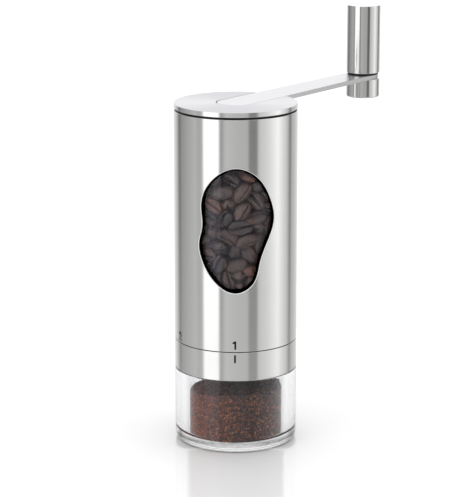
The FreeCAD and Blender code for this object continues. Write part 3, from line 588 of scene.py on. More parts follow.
def makeSleeve():
    # front panel: rows of points run in from the panel's border to the window's edge, round the edge
    # and back out on the inside; back panel and rims: plain grids that share the border's points
    shape = sleeveShape
    outer, inner = bodyRadius, wallInside
    low, high = sleeveLow.z, sleeveHigh.z
    outerBorder = borderSamples(low + shape["edge"], high - shape["edge"])
    innerBorder = borderSamples(low + shape["innerEdge"], high - shape["innerEdge"])
    share = sharesFacing(outerBorder, (windowPoints[:, 1].min() + windowPoints[:, 1].max()) / 2)
    rowPoints = []
    rowNormals = []

    def addRow(angle, height, radius, lean, outward):
        # lean 0 faces straight out of the wall, 90 degrees into the window, 180 to the inside
        rowPoints.append(onWall(angle, height, radius))
        radial = onWall(angle, 0 * height, 1.0)
        around = np.stack([np.cos(angle), np.sin(angle), 0 * angle], axis=-1)
        into = -(outward[:, :1] * around + outward[:, 1:] * np.array([0, 0, 1]))
        rowNormals.append(math.cos(lean) * radial + math.sin(lean) * into)

    edgeCurve, outward = windowCurve(shape["windowEdge"], 0, share)
    edgeAngle = np.arcsin(edgeCurve[:, 0] / outer)
    for amount in np.linspace(0, 1, shape["frontRows"]) ** shape["crowding"]:
        angle = outerBorder[:, 0] * (1 - amount) + edgeAngle * amount
        height = outerBorder[:, 1] * (1 - amount) + edgeCurve[:, 1] * amount
        addRow(angle, height, outer, 0, outward)
    for lean in np.linspace(0, math.pi / 2, shape["edgeSteps"] + 1)[1:]:
        curve, outward = windowCurve(shape["windowEdge"] * (1 - math.sin(lean)), 0, share)
        radius = outer - shape["windowEdge"] * (1 - math.cos(lean))
        addRow(np.arcsin(curve[:, 0] / radius), curve[:, 1], radius, lean, outward)
    for lean in np.linspace(math.pi / 2, math.pi, shape["lipRows"]):
        curve, outward = windowCurve(shape["innerEdge"] * (1 - math.sin(lean)), 0, share)
        radius = inner + shape["innerEdge"] * (1 + math.cos(lean))
        addRow(np.arcsin(curve[:, 0] / radius), curve[:, 1], radius, lean, outward)
    innerAngle = np.arcsin(curve[:, 0] / inner)
    for amount in np.linspace(0, 1, shape["insideRows"])[1:]:
        angle = innerAngle * (1 - amount) + innerBorder[:, 0] * amount
        height = curve[:, 1] * (1 - amount) + innerBorder[:, 1] * amount
        addRow(angle, height, inner, math.pi, outward)
    columns = len(outerBorder)
    parts = [(rowPoints, rowNormals, gridFaces(len(rowPoints), columns, wrapColumns=True))]

    backAngle = np.linspace(shape["wrap"], fullTurn - shape["wrap"], shape["backCount"] + 1)
    for radius, facing, edge in ((outer, 1, shape["edge"]), (inner, -1, shape["innerEdge"])):
        height = np.linspace(high - edge, low + edge, shape["sideCount"] + 1)
        angle, level = np.meshgrid(backAngle, height)
        parts.append((onWall(angle, level, radius), facing * onWall(angle, 0 * level, 1.0),
                      gridFaces(len(height), len(backAngle))))
    front = np.linspace(-shape["wrap"], shape["wrap"], shape["topCount"] + 1)[:-1]
    whole = np.concatenate([front, backAngle[:-1]])
    for level, up in ((high, 1), (low, -1)):
        start = level - up * shape["rimDepth"]
        line, right = roundedProfile([(outer, start), (outer, level, shape["edge"]),
                                      (inner, level, shape["innerEdge"]), (inner, start)])
        line, right = line[1:-1], right[1:-1] * up
        points = onWall(whole[None], line[:, 1, None] + 0 * whole, line[:, 0, None])
        normals = onWall(whole[None], right[:, 1, None] + 0 * whole, right[:, 0, None])
        parts.append((points, normals, gridFaces(len(line), len(whole), wrapColumns=True)))

    sleeve = makePiece("steelSleeve", *joinSurfaces(parts), sleeveSteel, "hopper", ["body_sleeve"],
                       "brushed_sleeve")
    # the rounded cut edge round the window gets the steel with the painted highlight
    sleeve.data.materials.append(cutEdgeHighlight)
    row = np.arange(len(sleeve.data.polygons)) // columns      # rows of faces from the border inwards
    firstCut = shape["frontRows"] - 1
    isCut = (row >= firstCut) & (row < firstCut + shape["edgeSteps"])
    sleeve.data.polygons.foreach_set("material_index", isCut.astype(np.int32))


# hidden, bevelled and seen are how far the section's corners lie outside the window's edge
gasket = {"slack": 0.06 * mm, "hidden": 2.15 * mm, "bevelled": -0.75 * mm, "seen": -1.00 * mm,
          "bevel": 0.25 * mm, "rounding": 0.12 * mm, "lift": 0.2 * mm, "columns": 240}


def makeGasket():
    # a band between two window outlines, bent to the wall and as thick as the gap behind the sleeve
    share = np.linspace(0, 1, gasket["columns"], endpoint=False)
    outer = wallInside - gasket["slack"]
    inner = tubeHigh.x + gasket["slack"]
    section = [(gasket["hidden"], inner), (gasket["hidden"], outer), (gasket["bevelled"], outer),
               (gasket["seen"], outer - gasket["bevel"]), (gasket["seen"], inner)]
    rowPoints = []
    rowNormals = []
    line, right = roundedProfile([corner + (gasket["rounding"],) for corner in section], closed=True, steps=4)
    for (grow, radius), (sideways, out) in zip(line, right):
        lift = gasket["lift"] * np.clip(grow / gasket["seen"], 0, 1)
        curve, outward = windowCurve(grow, lift, share)
        angle = np.arcsin(curve[:, 0] / radius)
        rowPoints.append(onWall(angle, curve[:, 1], radius))
        around = np.stack([np.cos(angle), np.sin(angle), 0 * angle], axis=-1)
        away = outward[:, :1] * around + outward[:, 1:] * np.array([0, 0, 1])
        rowNormals.append(-(sideways * away + out * onWall(angle, 0 * angle, 1.0)))
    faces = gridFaces(len(rowPoints), len(share), wrapRows=True, wrapColumns=True)
    makePiece("windowGasket", rowPoints, rowNormals, faces, blackRubber, "hopper", ["window_gasket"],
              "black_rubber")


makeSleeve()
makeGasket()
print("sleeve and window made")


def makeCollarRing():
    turnedPiece("collarRing", [
        (wallInside, ringLow.z), (bodyRadius, ringLow.z, 0.15 * mm), (bodyRadius, ringHigh.z, 0.15 * mm),
        (wallInside, ringHigh.z),
    ], sleeveSteel, "collar", ["collar_ring"], "brushed_sleeve", closed=True)


jarShape = {"foot": 3.0 * mm, "shoulder": 33.05 * mm, "floor": 3.5 * mm, "chamber": 20.7 * mm,
            "neck": 24.3 * mm, "groove": 23.3 * mm, "grooveLow": 36.5 * mm, "grooveHigh": 38.3 * mm}


def makeJar():
    shape = jarShape
    jar = turnedPiece("clearJar", [
        (0, 0), (bodyRadius, 0, shape["foot"]), (bodyRadius, shape["shoulder"], 0.4 * mm),
        (shape["neck"], shape["shoulder"], 0.2 * mm), (shape["neck"], shape["grooveLow"], 0.1 * mm),
        (shape["groove"], shape["grooveLow"], 0.1 * mm), (shape["groove"], shape["grooveHigh"], 0.1 * mm),
        (shape["neck"], shape["grooveHigh"], 0.1 * mm), (shape["neck"], jarHigh.z, 0.6 * mm),
        (shape["chamber"], jarHigh.z, 0.5 * mm), (shape["chamber"], shape["floor"], 1.6 * mm),
        (0, shape["floor"]),
    ], clearAcrylic, "jar", ["jar"], "clear_acrylic", steps=9)
    jar.data.materials.append(satinFoot)
    centres = np.zeros(len(jar.data.polygons) * 3)
    jar.data.polygons.foreach_get("center", centres)
    standing = centres.reshape(-1, 3)[:, 2] < 0.01 * mm      # the faces that touch the table
    jar.data.polygons.foreach_set("material_index", standing.astype(np.int32))


def makeTube():
    turnedPiece("hopperTube", [
        (tubeInside, tubeLow.z), (tubeHigh.x, tubeLow.z, 0.2 * mm), (tubeHigh.x, tubeHigh.z, 0.2 * mm),
        (tubeInside, tubeHigh.z, 0.2 * mm),
    ], smokedAcrylic, "hopper", ["hopper_tube"], "smoked_acrylic", closed=True)


def makeRimRing():
    rimLow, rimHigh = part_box("rim_ring")
    slack = 0.05 * mm
    slip = tubeHigh.x + slack
    skirt = wallInside - slack
    turnedPiece("rimRing", [
        (slip, rimLow.z), (skirt, rimLow.z, 0.2 * mm), (skirt, sleeveHigh.z), (rimHigh.x, sleeveHigh.z),
        (rimHigh.x, rimHigh.z, 0.15 * mm), (tubeInside, rimHigh.z, 0.15 * mm), (tubeInside, sleeveHigh.z),
        (slip, sleeveHigh.z),
    ], blackNylon, "hopper", ["rim_ring"], "black_nylon", closed=True)


def makeKnob():
    bore = 4.8 * mm
    crown = knobHigh.z - 4.8 * mm      # how far the bore goes up
    turnedPiece("knobShell", [
        (bore, knobLow.z), (knobRadius, knobLow.z, 0.25 * mm), (knobRadius, knobHigh.z, 0.22 * mm),
        (0, knobHigh.z), (0, crown), (bore, crown),
    ], knobSteel, "knob", ["knob"], "turned_steel", centre=(knobX, knobY), segments=128)


def makeKnobWasher():
    washerLow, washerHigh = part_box("knob_washer")
    hole = 2.95 * mm
    rim = knobRadius - 0.6 * mm
    turnedPiece("knobWasher", [
        (hole, washerLow.z), (rim, washerLow.z, 0.1 * mm), (rim, washerHigh.z, 0.1 * mm),
        (hole, washerHigh.z),
    ], blackRubber, "crank_cap", ["knob_washer"], "black_rubber", closed=True, centre=(knobX, knobY),
        segments=96)


def makeKnobBoss():
    axle = 3.0 * mm
    mouth = 2.75 * mm
    turnedPiece("knobBoss", [
        (axle, bossLow.z + 2 * mm), (mouth, bossLow.z, 0.1 * mm), (knobRadius, bossLow.z, 0.6 * mm),
        (knobRadius, bossHigh.z, 0.1 * mm), (axle, bossHigh.z),
    ], knobSteel, "crank_cap", ["knob_boss"], "turned_steel", closed=True, centre=(knobX, knobY),
        segments=128)


makeCollarRing()
makeJar()
makeTube()
makeRimRing()
makeKnob()
makeKnobWasher()
makeKnobBoss()
print("turned pieces made")


armShape = {"hub": 8.3 * mm, "tip": 7.1 * mm, "gap": 0.34 * mm, "edge": 0.46 * mm, "lidEdge": 0.12 * mm,
            "corner": 0.45 * mm, "eye": 2.95 * mm, "eyeEdge": 0.1 * mm}


def turnFlat(flat, angle):
    # turns flat points by an angle about the middle
    return np.stack([flat[:, 0] * math.cos(angle) - flat[:, 1] * math.sin(angle),
                     flat[:, 0] * math.sin(angle) + flat[:, 1] * math.cos(angle)], axis=1)


def arcPoints(centre, radius, start, finish, count, facing=1):
    # part of a circle and the directions out of it (facing 1) or into it (facing -1)
    angle = np.linspace(start, finish, count)
    outward = np.stack([np.cos(angle), np.sin(angle)], axis=1)
    return np.array(centre) + radius * outward, facing * outward


def armOutline():
    # two round ends joined by the straight lines that touch both
    hub, tip = armShape["hub"], armShape["tip"]
    lean = math.acos((hub - tip) / armReach)
    end, endOut = arcPoints((armReach, 0), tip, -lean, lean, 49)
    start, startOut = arcPoints((0, 0), hub, lean, fullTurn - lean, 49)
    return np.concatenate([end, start]), np.concatenate([endOut, startOut])


def lidOutline():
    # a circle with the arm's slot let in: round the circle, over a small corner, along the slot's side,
    # round the hub, and back out along the other side
    hub = armShape["hub"] + armShape["gap"]
    corner = armShape["corner"]
    lean = math.acos((armShape["hub"] - armShape["tip"]) / armReach)
    side = np.array([math.cos(lean), math.sin(lean)])
    ahead = np.array([math.sin(lean), -math.cos(lean)])
    middle = side * (hub + corner) + ahead * math.sqrt((bodyRadius - corner) ** 2 - (hub + corner) ** 2)
    fromMiddle = math.atan2(middle[1], middle[0])
    slotWay = math.atan2(-side[1], -side[0])
    circle = arcPoints((0, 0), bodyRadius, fromMiddle, fullTurn - fromMiddle, 241)
    lower = arcPoints((middle[0], -middle[1]), corner, -fromMiddle, -slotWay, 9)
    inner = arcPoints((0, 0), hub, fullTurn - lean, lean, 65, facing=-1)
    upper = arcPoints(middle, corner, slotWay, fromMiddle, 9)
    parts = [circle, lower, inner, upper]
    return np.concatenate([part[0] for part in parts]), np.concatenate([part[1] for part in parts])


def makeLid():
    # the outline's rounded plate, closed by two flat faces
    path, outward = lidOutline()
    rows, normals = plateSurface(turnFlat(path, armAngle), turnFlat(outward, armAngle),
                                 lidLow.z, lidHigh.z, armShape["lidEdge"])
    count, columns = rows.shape[:2]
    caps = [np.arange(columns), np.arange((count - 1) * columns, count * columns)]
    makePiece("lidDisc", rows, normals, gridFaces(count, columns, wrapColumns=True), lidSteel, "crank_cap",
              ["lid_disc"], "brushed_lid", caps)


def makeArm():
    # the outline's rounded plate, with its flat faces running in to the axle's hole
    path, outward = armOutline()
    rows, normals = plateSurface(path, outward, lidLow.z, lidHigh.z, armShape["edge"])
    centre = np.array([armReach, 0.0])
    toward = path - centre
    toward = toward / np.linalg.norm(toward, axis=1)[:, None]
    eye, edge = armShape["eye"], armShape["eyeEdge"]
    extraRows = []
    extraNormals = []
    for radius, height, inward, up in ((eye + edge, lidHigh.z, 0, 1), (eye, lidHigh.z - edge, 1, 0),
                                       (eye, lidLow.z + edge, 1, 0), (eye + edge, lidLow.z, 0, -1)):
        level = np.full((len(path), 1), height)
        extraRows.append(np.concatenate([centre + radius * toward, level], axis=1))
        extraNormals.append(np.concatenate([-inward * toward, 0 * level + up], axis=1))
    rows = np.concatenate([rows, extraRows])
    normals = np.concatenate([normals, extraNormals])
    count, columns = rows.shape[:2]
    rows = rows.reshape(-1, 3)
    normals = normals.reshape(-1, 3)
    rows[:, :2] = turnFlat(rows[:, :2], armAngle)
    normals[:, :2] = turnFlat(normals[:, :2], armAngle)
    makePiece("crankArm", rows, normals, gridFaces(count, columns, wrapRows=True, wrapColumns=True),
              armSteel, "crank_cap", ["crank_arm"], "brushed_arm")


makeLid()
makeArm()
print("lid and arm made")


marks = {
    "stroke": 0.80 * mm, "depth": 0.05 * mm, "proud": 0.012 * mm,
    "first": math.radians(-2.1), "step": math.radians(-63.9), "base": 1.45 * mm,
    "indexTop": 1.35 * mm, "indexTall": 2.9 * mm,
}


def curveThrough(corners, radii):
    # a line through corners, rounded where a radius is given, as points and right-hand normals
    return roundedProfile([(x * mm, y * mm, r * mm) for (x, y), r in zip(corners, radii)], steps=14)


def strokeOutline(line, right, width):
    # both sides of a line at half the width, joined by round ends
    half = width / 2
    ends = []
    for point, outward in ((line[-1], right[-1]), (line[0], -right[0])):
        start = math.atan2(outward[1], outward[0])
        angle = np.linspace(start, start + math.pi, 10)[1:-1]
        direction = np.stack([np.cos(angle), np.sin(angle)], axis=1)
        ends.append((point + half * direction, direction))
    path = np.concatenate([line + half * right, ends[0][0], (line - half * right)[::-1], ends[1][0]])
    outward = np.concatenate([right, ends[0][1], -right[::-1], ends[1][1]])
    return path, outward


# strokes of each digit as (corners, radii), in millimetres from the middle of its base line
digitLines = {
    1: [([(-0.72, 2.62), (0.12, 3.15), (0.12, 0)], (0, 0.1, 0))],
    2: [([(-0.85, 2.2), (-0.8, 3.15), (0.85, 3.15), (0.8, 1.6), (-0.85, 0)], (0, 0.8, 0.8, 0.7, 0)),
        ([(-0.85, 0), (0.9, 0)], (0, 0))],
    3: [([(-0.8, 3.15), (0.75, 3.15), (-0.1, 1.85)], (0, 0.1, 0)),
        ([(-0.1, 1.85), (0.9, 1.85), (0.9, 0), (-0.5, 0), (-0.9, 0.35)], (0, 0.9, 0.9, 0.3, 0))],
    4: [([(0.35, 0), (0.35, 3.15), (-0.95, 0.85), (0.95, 0.85)], (0, 0.05, 0.1, 0))],
    5: [([(0.75, 3.15), (-0.65, 3.15), (-0.75, 1.75), (0, 2.05), (0.9, 1.9), (0.9, 0), (-0.5, 0),
          (-0.85, 0.3)], (0, 0.1, 0.1, 0.5, 0.55, 0.85, 0.3, 0))],
}


def wrapStroke(line, right, angle, base):
    # a stroke's plate, bent to the steel's outside; low sits in the wall and high stands just proud
    path, outward = strokeOutline(line, right, marks["stroke"])
    rows, normals = plateSurface(path, outward, -marks["depth"], marks["proud"], marks["proud"] / 2, steps=2)
    count, columns = rows.shape[:2]
    rows, normals = rows.reshape(-1, 3), normals.reshape(-1, 3)
    turn = angle + rows[:, 0] / bodyRadius
    points = onWall(turn, base + rows[:, 1], bodyRadius + rows[:, 2])
    around = np.stack([np.cos(turn), np.sin(turn), 0 * turn], axis=-1)
    bent = (normals[:, :1] * around + normals[:, 1:2] * np.array([0, 0, 1])
            + normals[:, 2:] * onWall(turn, 0 * turn, 1.0))
    faces = gridFaces(count, columns, wrapColumns=True)
    middle = columns // 2
    across = np.arange(middle - 1)      # both flat faces, as strips from one side to the other
    strip = np.stack([across, across + 1, columns - 2 - across, columns - 1 - across], axis=1)
    return points, bent, np.concatenate([faces, strip, strip + (count - 1) * columns])


def makeMarks():
    for digit, strokes in digitLines.items():
        angle = marks["first"] + (digit - 1) * marks["step"]
        parts = [wrapStroke(*curveThrough(corners, radii), angle, sleeveLow.z + marks["base"])
                 for corners, radii in strokes]
        makePiece("numeral" + str(digit), *joinSurfaces(parts), blackPaint, "hopper")
    upright = np.array([[0, marks["indexTall"]], [0, 0]])
    line = wrapStroke(upright, np.array([[-1.0, 0], [-1.0, 0]]), marks["first"],
                      ringHigh.z - marks["indexTop"] - marks["indexTall"])
    makePiece("indexLine", *line, blackPaint, "collar")


makeMarks()
print("marks made")


beans = {
    "count": 345, "length": 10.4 * mm, "width": 7.1 * mm, "thick": 5.2 * mm, "seed": 11,
    "floor": 69.6 * mm, "top": 134 * mm, "shaft": 3.6 * mm, "rounds": 320,
    "balls": [2.85 * mm, 3.4 * mm, 2.85 * mm], "reach": 2.5 * mm,      # radii, and from ball to ball
    # beans that are seen: to this angle round from the front and out from this radius, or above this height
    "seenAngle": 1.3, "seenRadius": 13.5 * mm, "seenHeight": 122 * mm,
    "alongWall": 17 * mm,      # out from this radius beans lie flatter against the wall
}


def packBeans():
    # beans as three balls in a row each, dropped into the hopper: every round they sink a little,
    # then overlapping balls push apart and the tube, the shaft and the floor push back
    random = np.random.default_rng(beans["seed"])
    count = beans["count"]
    wall = tubeInside - 0.15 * mm
    reach = beans["reach"]
    angle = random.uniform(0, fullTurn, count)
    radius = np.sqrt(random.uniform(0.10, 0.72, count)) * wall
    middle = np.stack([radius * np.cos(angle), radius * np.sin(angle),
                       beans["floor"] + random.uniform(3, 128, count) * mm], axis=1)
    axis = random.normal(size=(count, 3))
    axis /= np.linalg.norm(axis, axis=1)[:, None]
    size = np.tile(beans["balls"], count)
    owner = np.repeat(np.arange(count), 3)
    offset = np.array([-1.0, 0.0, 1.0])
    for step in range(beans["rounds"]):
        middle[:, 2] -= 0.55 * mm * (1 - step / beans["rounds"])
        centre = (middle[:, None] + offset[None, :, None] * reach * axis[:, None]).reshape(-1, 3)
        if step % 10 == 0:      # which balls are near each other changes slowly
            square = (centre ** 2).sum(axis=1)
            apart = square[:, None] + square[None] - 2 * centre @ centre.T
            first, second = np.nonzero(np.triu(apart < (10 * mm) ** 2, 1))
            others = owner[first] != owner[second]
            first, second = first[others], second[others]
        gap = centre[first] - centre[second]
        distance = np.linalg.norm(gap, axis=1) + 1e-9
        overlap = np.clip(size[first] + size[second] - distance, 0, None)
        move = gap * (0.42 * overlap / distance)[:, None]
        push = np.stack([np.bincount(first, part, len(centre)) - np.bincount(second, part, len(centre))
                         for part in move.T], axis=1)
        flat = np.linalg.norm(centre[:, :2], axis=1) + 1e-9
        beyond = np.clip(flat + size - wall, 0, None) - np.clip(beans["shaft"] + size - flat, 0, None)
        push[:, :2] -= centre[:, :2] * (beyond / flat)[:, None]
        push[:, 2] += np.clip(beans["floor"] + size - centre[:, 2], 0, None)
        push = push.reshape(count, 3, 3)
        middle += np.clip(push.sum(axis=1) * 0.34, -1.5 * mm, 1.5 * mm)
        axis += np.clip((push[:, 2] - push[:, 0]) / (2 * reach), -0.35, 0.35)
        axis /= np.linalg.norm(axis, axis=1)[:, None]
    return middle, axis, random


def beanShape(along, around):
    # unit bean: an egg-shaped outline, a domed back, a flatter front, and an S-shaped crease in it;
    # round the front the points crowd towards the crease
    third = around // 3
    step = np.linspace(-1, 1, around - third + 1)
    acrossFront = 0.45 * step + 0.55 * step ** 3
    phi = np.concatenate([np.linspace(0, math.pi, third + 1)[:-1], fullTurn - np.arccos(acrossFront)[:-1]])
    theta, phi = np.meshgrid(np.linspace(0, math.pi, along), phi, indexing="ij")
    x = np.cos(theta)
    y = np.sin(theta) ** 0.9 * np.cos(phi) * (1 - 0.06 * x)
    z = np.sin(theta) ** 0.9 * np.sin(phi)
    front = -0.42 * np.tanh(-1.8 * z) / math.tanh(1.8)
    crease = 0.30 * np.exp(-((y - 0.09 * np.sin(2.6 * x)) / 0.10) ** 2) * np.clip(1.1 - x ** 6, 0, 1)
    z = np.where(z > 0, 0.60 * z, front + crease * np.clip(-front / 0.2, 0, 1)) * 2
    return np.stack([x, y, z], axis=-1)


def beanSurfaces(middle, axis, front, along, around, random):
    # every bean's points from the unit bean, turned to its own axes, with small lumps
    unit = beanShape(along, around)
    side = np.cross(front, axis)
    side /= np.linalg.norm(side, axis=1)[:, None]
    front = np.cross(axis, side)
    count = len(middle)
    size = np.array([beans["length"], beans["width"], beans["thick"]])
    scale = random.uniform(0.90, 1.06, (count, 1)) * size / 2
    scale = scale * random.uniform(0.95, 1.05, (count, 3))
    shaped = unit[None] * scale[:, None, None]
    wave = random.uniform(0, fullTurn, (count, 3, 1, 1))
    lumps = (np.sin(5 * unit[None, ..., 0] + 3 * unit[None, ..., 2] + wave[:, 0])
             + np.sin(7 * unit[None, ..., 1] + 4 * unit[None, ..., 0] + wave[:, 1])
             + np.sin(6 * unit[None, ..., 2] - 5 * unit[None, ..., 1] + wave[:, 2]))
    shaped = shaped * (1 + 0.012 * lumps[..., None])
    frameAxes = np.stack([axis, side, -front], axis=1)
    return np.einsum("nijk,nkl->nijl", shaped, frameAxes) + middle[:, None, None]


def repeatedFaces(faces, copies, stride):
    # the same faces for each of several copies whose points follow one another
    return (faces[None] + (np.arange(copies) * stride)[:, None, None]).reshape(-1, faces.shape[1])


def makeCoffee(name, points, faces, material, body, roast=None):
    # a smooth piece of coffee; roast is a shade for each point
    points = points.reshape(-1, 3)
    carried = 0 * points if roast is None else np.stack([roast] * 3, axis=1)
    points, carried, back, faces = weld(points, carried, faces)
    mesh = bpy.data.meshes.new(name)
    mesh.from_pydata(points.tolist(), [], faces)
    turnOutwards(mesh)
    mesh.shade_smooth()
    if roast is not None:
        attribute = mesh.attributes.new("roast", "FLOAT", "POINT")
        attribute.data.foreach_set("value", carried[:, 0].astype(np.float32))
    addPiece(name, mesh, material, body)


def makeBeans():
    # shapes the packed beans: fine ones where they are seen, plain ones further in
    middle, axis, random = packBeans()
    keep = middle[:, 2] < beans["top"]
    middle, axis = middle[keep], axis[keep]
    count = len(middle)
    outward = np.stack([middle[:, 0], middle[:, 1], 0 * middle[:, 0]], axis=1)
    outward /= np.linalg.norm(outward, axis=1)[:, None]
    fromMiddle = np.hypot(middle[:, 0], middle[:, 1])
    tilt = random.normal(size=(count, 3)) * np.where(fromMiddle > beans["alongWall"], 0.55, 1.5)[:, None]
    facing = np.where(random.uniform(size=count) < 0.62, 1.0, -1.0)
    front = outward * facing[:, None] + tilt
    shade = random.uniform(0, 1, count)
    seenAngle = np.abs(np.arctan2(middle[:, 0], -middle[:, 1]))
    inFront = (seenAngle < beans["seenAngle"]) & (fromMiddle > beans["seenRadius"])
    fine = inFront | (middle[:, 2] > beans["seenHeight"])
    for name, chosen, along, around in (("windowBeans", fine, 19, 30), ("innerBeans", ~fine, 8, 9)):
        points = beanSurfaces(middle[chosen], axis[chosen], front[chosen], along, around, random)
        furthest = np.hypot(points[..., 0], points[..., 1]).max(axis=(1, 2))
        beyond = furthest - (tubeInside - 0.06 * mm)
        points -= (outward[chosen] * np.clip(beyond, 0, None)[:, None])[:, None, None]
        below = beans["floor"] - points[..., 2].min(axis=(1, 2))
        points[..., 2] += np.clip(below, 0, None)[:, None, None]
        stride = along * around
        faces = repeatedFaces(gridFaces(along, around, wrapColumns=True), len(points), stride)
        makeCoffee(name, points, faces, roastedBean, "hopper", roast=np.repeat(shade[chosen], stride))
    print("beans packed:", count)


def makeRoastedBean():
    # dark roast: each bean has its own shade, with paler skin ridges and a slight oil gloss
    material, tree, shader = newMaterial("roastedBean", IOR=1.45, Specular_IOR_Level=0.8, Coat_Weight=0.25,
                                         Coat_Roughness=0.22)
    vector = objectVector(tree)
    own = addNode(tree, "Attribute", attribute_name="roast").outputs["Fac"]
    fine = noiseNode(tree, 1100.0, 5, 0.7, vector)
    broad = noiseNode(tree, 260.0, 3, 0.5, vector)
    tone = mixColour(tree, own, (0.030, 0.020, 0.017, 1), (0.27, 0.165, 0.125, 1))
    ruddy = mixColour(tree, rangeNode(tree, own, 0.93, 0.95), tone, (0.34, 0.135, 0.075, 1))
    patches = mixColour(tree, rangeNode(tree, broad, 0.50, 0.75, 0, 0.7), ruddy, (0.26, 0.115, 0.065, 1))
    spots = mixColour(tree, rangeNode(tree, fine, 0.38, 0.56, 0.9, 0), patches, (0.015, 0.010, 0.008, 1))
    feed(tree, shader, {"Base Color": spots, "Roughness": rangeNode(tree, fine, 0.3, 0.7, 0.45, 0.18)})
    bumpInto(tree, shader, fine, 0.8, 0.4 * mm)
    return material


roastedBean = makeRoastedBean()
makeBeans()


grounds = {
    "radius": 20.55 * mm, "floor": 3.62 * mm, "side": 23.9 * mm, "crown": 24.5 * mm, "grain": 0.34 * mm,
    "around": 520, "bottom": 11, "up": 70, "across": 64, "seed": 5,      # points round, and rows of them
    "crumbs": 1500, "crumbSizes": (0.28 * mm, 0.85 * mm), "crumbMargin": 0.85 * mm, "crumbSeed": 6,
}


def smoothRandom(random, rows, columns, rounds):
    # random numbers on a grid that closes round its columns, softened by averaging with neighbours
    values = random.normal(size=(rows, columns))
    for step in range(rounds):
        values = (values + np.roll(values, 1, 1) + np.roll(values, -1, 1)
                  + np.concatenate([values[:1], values[:-1]]) + np.concatenate([values[1:], values[-1:]])) / 5
    return values / values.std()


def heapHeight(angle, radius):
    # the heap's top: side + (crown - side) * (1 - share ** 1.4) + waves round the heap, higher in front
    # and to the right, that fade towards its middle
    share = radius / grounds["radius"]
    rise = (grounds["crown"] - grounds["side"]) * (1 - share ** 1.4)
    lumps = (0.40 * np.sin(2 * angle + 0.6) + 0.34 * np.sin(5 * angle + 2.1) + 0.34 * np.sin(9 * angle + 0.4)
             + 0.34 * np.sin(17 * angle + 1.7) + 0.34 * np.sin(31 * angle + 0.9))
    lumps = lumps + 1.3 * np.cos(angle) - 1.7 * np.sin(angle)
    return grounds["side"] + rise + lumps * mm * share * (1.2 - 0.4 * share)


def makeGrounds():
    # one closed skin: from the middle of the bottom out to the wall, up it and over the heap to its top;
    # each point is moved along its normal by soft random lumps the size of grains
    random = np.random.default_rng(grounds["seed"])
    outer, floor = grounds["radius"], grounds["floor"]
    columns, bottom = grounds["around"], grounds["bottom"]
    wallEnd = bottom + grounds["up"]
    angle = np.linspace(0, fullTurn, columns, endpoint=False)
    wallTop = heapHeight(angle, outer + 0 * angle)
    bottomShare = np.linspace(0, 1, bottom, endpoint=False)
    wallShare = np.linspace(0, 1, grounds["up"])
    topShare = np.linspace(1, 0, grounds["across"])[1:]
    radius = np.concatenate([bottomShare[:, None] * outer + 0 * angle,
                             np.full((grounds["up"], columns), outer),
                             topShare[:, None] * outer + 0 * angle])
    height = np.concatenate([np.full((bottom, columns), floor),
                             floor + wallShare[:, None] * (wallTop - floor),
                             heapHeight(angle[None], topShare[:, None] * outer)])
    rows = len(radius)
    coarse = smoothRandom(random, rows, columns, 3)
    fine = smoothRandom(random, rows, columns, 1)
    lump = np.clip(0.6 * coarse + 0.4 * fine, -1.6, 1.6) * grounds["grain"] * 0.5
    radius[bottom:wallEnd] -= np.abs(lump[bottom:wallEnd])
    fade = np.clip(radius[wallEnd:] / (3 * mm), 0, 1)      # no lumps in the very middle
    height[wallEnd:] += lump[wallEnd:] * 1.5 * fade
    height[-1] = height[-1].mean()
    points = np.stack([radius * np.cos(angle), radius * np.sin(angle), height], axis=-1)
    makeCoffee("groundCoffee", points, gridFaces(rows, columns, wrapColumns=True), groundCoffee, "jar")


def makeCrumbs():
    # loose grains on the heap: small eight-sided crumbs, stretched and turned at random
    random = np.random.default_rng(grounds["crumbSeed"])
    count = grounds["crumbs"]
    angle = random.uniform(0, fullTurn, count)
    share = np.sqrt(random.uniform(0.25, 1, count))
    radius = share * (grounds["radius"] - grounds["crumbMargin"])
    size = random.uniform(*grounds["crumbSizes"], count)
    middle = np.stack([radius * np.cos(angle), radius * np.sin(angle),
                       heapHeight(angle, radius) + 0.35 * size], axis=1)
    corners = np.array([(1, 0, 0), (0, 1, 0), (-1, 0, 0), (0, -1, 0), (0, 0, 1), (0, 0, -1)], float)
    shaped = corners[None] * random.uniform(0.6, 1.25, (count, len(corners), 1)) * size[:, None, None]
    turns = np.linalg.qr(random.normal(size=(count, 3, 3)))[0]
    points = np.einsum("nij,njk->nik", shaped, turns) + middle[:, None]
    faces = np.array([(0, 1, 4), (1, 2, 4), (2, 3, 4), (3, 0, 4), (1, 0, 5), (2, 1, 5), (3, 2, 5), (0, 3, 5)])
    mesh = bpy.data.meshes.new("looseGrains")
    mesh.from_pydata(points.reshape(-1, 3).tolist(), [], repeatedFaces(faces, count, len(corners)).tolist())
    turnOutwards(mesh)
    addPiece("looseGrains", mesh, groundCoffee, "jar")


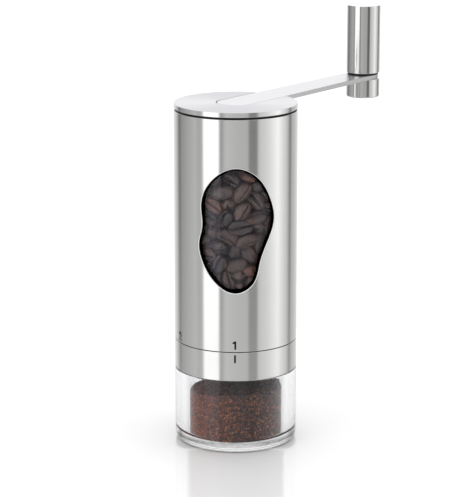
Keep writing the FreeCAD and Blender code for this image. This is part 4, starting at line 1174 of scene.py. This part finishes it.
def makeGroundCoffee():
    # every grain its own shade, most of them nearly black, some brown, a few orange flecks
    material, tree, shader = newMaterial("groundCoffee", IOR=1.45)
    vector = objectVector(tree)
    cells = addNode(tree, "TexVoronoi", {"Scale": 2300.0, "Vector": vector}).outputs
    pick = addNode(tree, "SeparateColor", {0: cells["Color"]}).outputs
    shades = addNode(tree, "ValToRGB", {0: pick[0]})
    shades.color_ramp.interpolation = "CONSTANT"
    fillRamp(shades.color_ramp, [
        (0.0, (0.022, 0.013, 0.011, 1)), (0.30, (0.075, 0.034, 0.025, 1)), (0.55, (0.155, 0.058, 0.037, 1)),
        (0.78, (0.32, 0.095, 0.046, 1)), (0.91, (0.66, 0.19, 0.065, 1)), (0.97, (1.0, 0.38, 0.14, 1)),
    ])
    broad = rangeNode(tree, noiseNode(tree, 140.0, 2, 0.5, vector), 0.35, 0.65, 0.0, 0.45)
    dim = mixColour(tree, broad, shades.outputs["Color"], (0.030, 0.022, 0.020, 1))
    place = splitVector(tree, vector)
    onLeft = rangeNode(tree, place["X"], 0 * mm, -15 * mm, 0, 0.62)      # painted light: grains on the left, toward the brightest panels, are made redder and brighter
    litLeftFlecks = mathNode(tree, "MULTIPLY", onLeft, rangeNode(tree, pick[2], 0.2, 0.9))
    warm = mixColour(tree, litLeftFlecks, dim, (0.60, 0.11, 0.026, 1))
    high = rangeNode(tree, place["Z"], 21.5 * mm, 26 * mm, 0, 0.3)      # painted shade: the heap's top is darker and greyer, as in the shade under the mill's body
    feed(tree, shader, {"Base Color": mixColour(tree, high, warm, (0.040, 0.032, 0.032, 1)),
                        "Roughness": rangeNode(tree, pick[1], 0, 1, 0.42, 0.75)})
    bumpInto(tree, shader, cells["Distance"], 0.7, 0.25 * mm)
    return material


groundCoffee = makeGroundCoffee()
makeGrounds()
makeCrumbs()
print("ground coffee made")


slotFinishes = {
    "clear_acrylic": clearAcrylic, "smoked_acrylic": smokedAcrylic, "brushed_sleeve": sleeveSteel,
    "brushed_lid": lidSteel, "brushed_arm": armSteel, "turned_steel": shaftSteel,
    "bright_screw": brightScrew, "black_nylon": blackNylon, "black_rubber": blackRubber,
    "clear_rubber": siliconeSeal, "bronze": sinteredBronze, "white_slip": whiteSlip,
    "ceramic": burrCeramic, "spring_steel": springSteel,
}
for node in nodeObjects.values():
    for place in node.material_slots:
        place.material = slotFinishes[place.material.name.split(".")[0]]
print("finishes put on the frame's own nodes")
